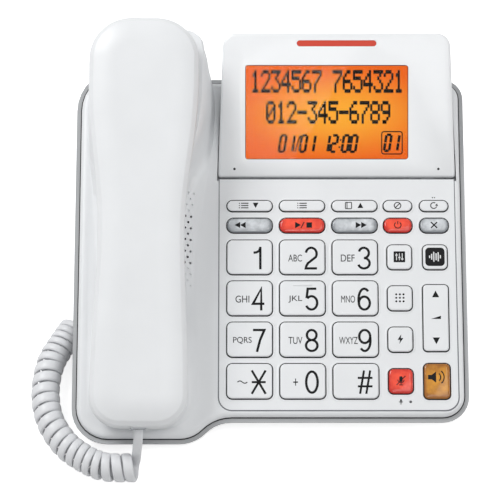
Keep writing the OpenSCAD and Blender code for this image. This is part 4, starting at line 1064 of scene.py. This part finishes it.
def paint_hole_shade(mesh):
    """Paints shade on the steep faces round each row of holes: they take the dark finish."""
    back = cradle.inverted()
    spots = [back @ v.co for v in mesh.vertices]
    mesh.materials.append(materials["gap"])
    for face in mesh.polygons:
        points = [spots[i] for i in face.vertices]
        middle = sum(points, Vector()) / len(points)
        row = round((middle.y - HOLE_S) / HOLE_STEP)
        across = (points[1] - points[0]).cross(points[2] - points[0]).normalized().dot(HOLE_AXIS)
        if (abs(row) <= HOLE_ROWS and middle.x > 0 and middle.z > 0 and abs(across) < HOLE_WALL
                and all(abs(p.y - HOLE_S - row * HOLE_STEP) < HOLE_REACH for p in points)):
            face.material_index = 1


# Every other node keeps its own form
REMADE = {"cord_handset_lead", "cord_curls", "cord_base_lead", "cord_handset_plug", "cord_base_plug",
          "handset_outer", "lcd_panel", "volume_rocker"}
OWN_FINISH = {"display_front": "bezel", "handset_socket": "white_plastic"}
for node in nodes:
    if node in REMADE or body_of[node].endswith("_body"):
        continue
    skin = dressed(node, material=materials.get(OWN_FINISH.get(node)))
    if node == "top_housing":
        # Painted shade in the speaker holes
        paint_hole_shade(skin.data)


# Studio
FLOOR_HALF = 6
FLOOR_GLOW = 0.72
SKY_LIGHT = 0.42
CARD_W = 260
CARD_H = 330
CARD_POWER = 1.6
CARD_EDGE = Vector((36, 75)), Vector((120, 225))


def make_floor():
    mesh = bpy.data.meshes.new("floor")
    corners = [(FLOOR_HALF * x, FLOOR_HALF * y, 0) for x, y in ((-1, -1), (1, -1), (1, 1), (-1, 1))]
    mesh.from_pydata(corners, [], [(0, 1, 2, 3)])
    floor = bpy.data.objects.new("floor", mesh)
    bpy.context.scene.collection.objects.link(floor)
    mat, tree, links, bsdf = shader("floor")
    bsdf.inputs["Base Color"].default_value = (0.85, 0.85, 0.85, 1)
    bsdf.inputs["Roughness"].default_value = 0.9
    bsdf.inputs["Emission Color"].default_value = (1, 1, 1, 1)
    path = tree.new("ShaderNodeLightPath")
    glow = tree.new("ShaderNodeMath")
    glow.operation = "MULTIPLY"
    glow.inputs[1].default_value = FLOOR_GLOW
    links.new(path.outputs["Is Camera Ray"], glow.inputs[0])
    links.new(glow.outputs["Value"], bsdf.inputs["Emission Strength"])
    mesh.materials.append(mat)


def make_world():
    world = bpy.data.worlds.new("studio")
    bpy.context.scene.world = world
    world.use_nodes = True
    tree, links = world.node_tree.nodes, world.node_tree.links
    sky = tree["Background"]
    sky.inputs["Color"].default_value = (1, 1, 1, 1)
    path = tree.new("ShaderNodeLightPath")
    seen = tree.new("ShaderNodeMath")
    seen.operation = "MAXIMUM"
    links.new(path.outputs["Is Camera Ray"], seen.inputs[0])
    links.new(path.outputs["Is Glossy Ray"], seen.inputs[1])
    through = tree.new("ShaderNodeMath")
    through.operation = "MAXIMUM"
    links.new(seen.outputs["Value"], through.inputs[0])
    links.new(path.outputs["Is Transmission Ray"], through.inputs[1])
    level = tree.new("ShaderNodeMapRange")
    level.inputs["To Min"].default_value = SKY_LIGHT
    level.inputs["To Max"].default_value = 1
    links.new(through.outputs["Value"], level.inputs["Value"])
    links.new(level.outputs["Result"], sky.inputs["Strength"])


def area_light(name, size, power, place, rotation):
    data = bpy.data.lights.new(name, "AREA")
    data.shape = "RECTANGLE"
    data.size, data.size_y = size
    data.energy = power
    lamp = bpy.data.objects.new(name, data)
    bpy.context.scene.collection.objects.link(lamp)
    lamp.location = place
    lamp.rotation_euler = rotation


def soft_box(name, place, aim, side, power):
    rotation = (Vector(aim) - Vector(place)).to_track_quat("-Z", "Y").to_euler()
    area_light(name, (side, side), power, place, rotation)


def make_gloss_card():
    """Soft box beside the camera, whose edge shows as the slanting gloss on the display."""
    out = camera_way()
    up = Vector((0, out.z, -out.y))
    low, high = CARD_EDGE
    along = (high - low).normalized()
    middle = (low + high) / 2 + CARD_W / 2 * Vector((-along.y, along.x))
    place = CAMERA_TARGET + CAMERA_DISTANCE * out + MM * (middle.x * Vector((1, 0, 0)) + middle.y * up)
    tilt = math.degrees(math.atan2(along.y, along.x)) - 90
    rotation = (turn(90 - CAMERA_ELEVATION, "X") @ turn(tilt, "Z")).to_euler()
    area_light("gloss_card", (CARD_W * MM, CARD_H * MM), CARD_POWER, place, rotation)


make_floor()
make_world()
soft_box("key_light", (-0.8, 0.5, 1.2), (0, 0, 0.03), 0.6, 11.2)
soft_box("side_light", (0.45, -0.3, 1.4), (0, 0, 0.03), 0.8, 4)
soft_box("rim_light", (1.3, 0.1, 0.35), (0, 0, 0.05), 0.4, 2.1)
make_gloss_card()

bpy.context.scene.view_settings.view_transform = "Standard"
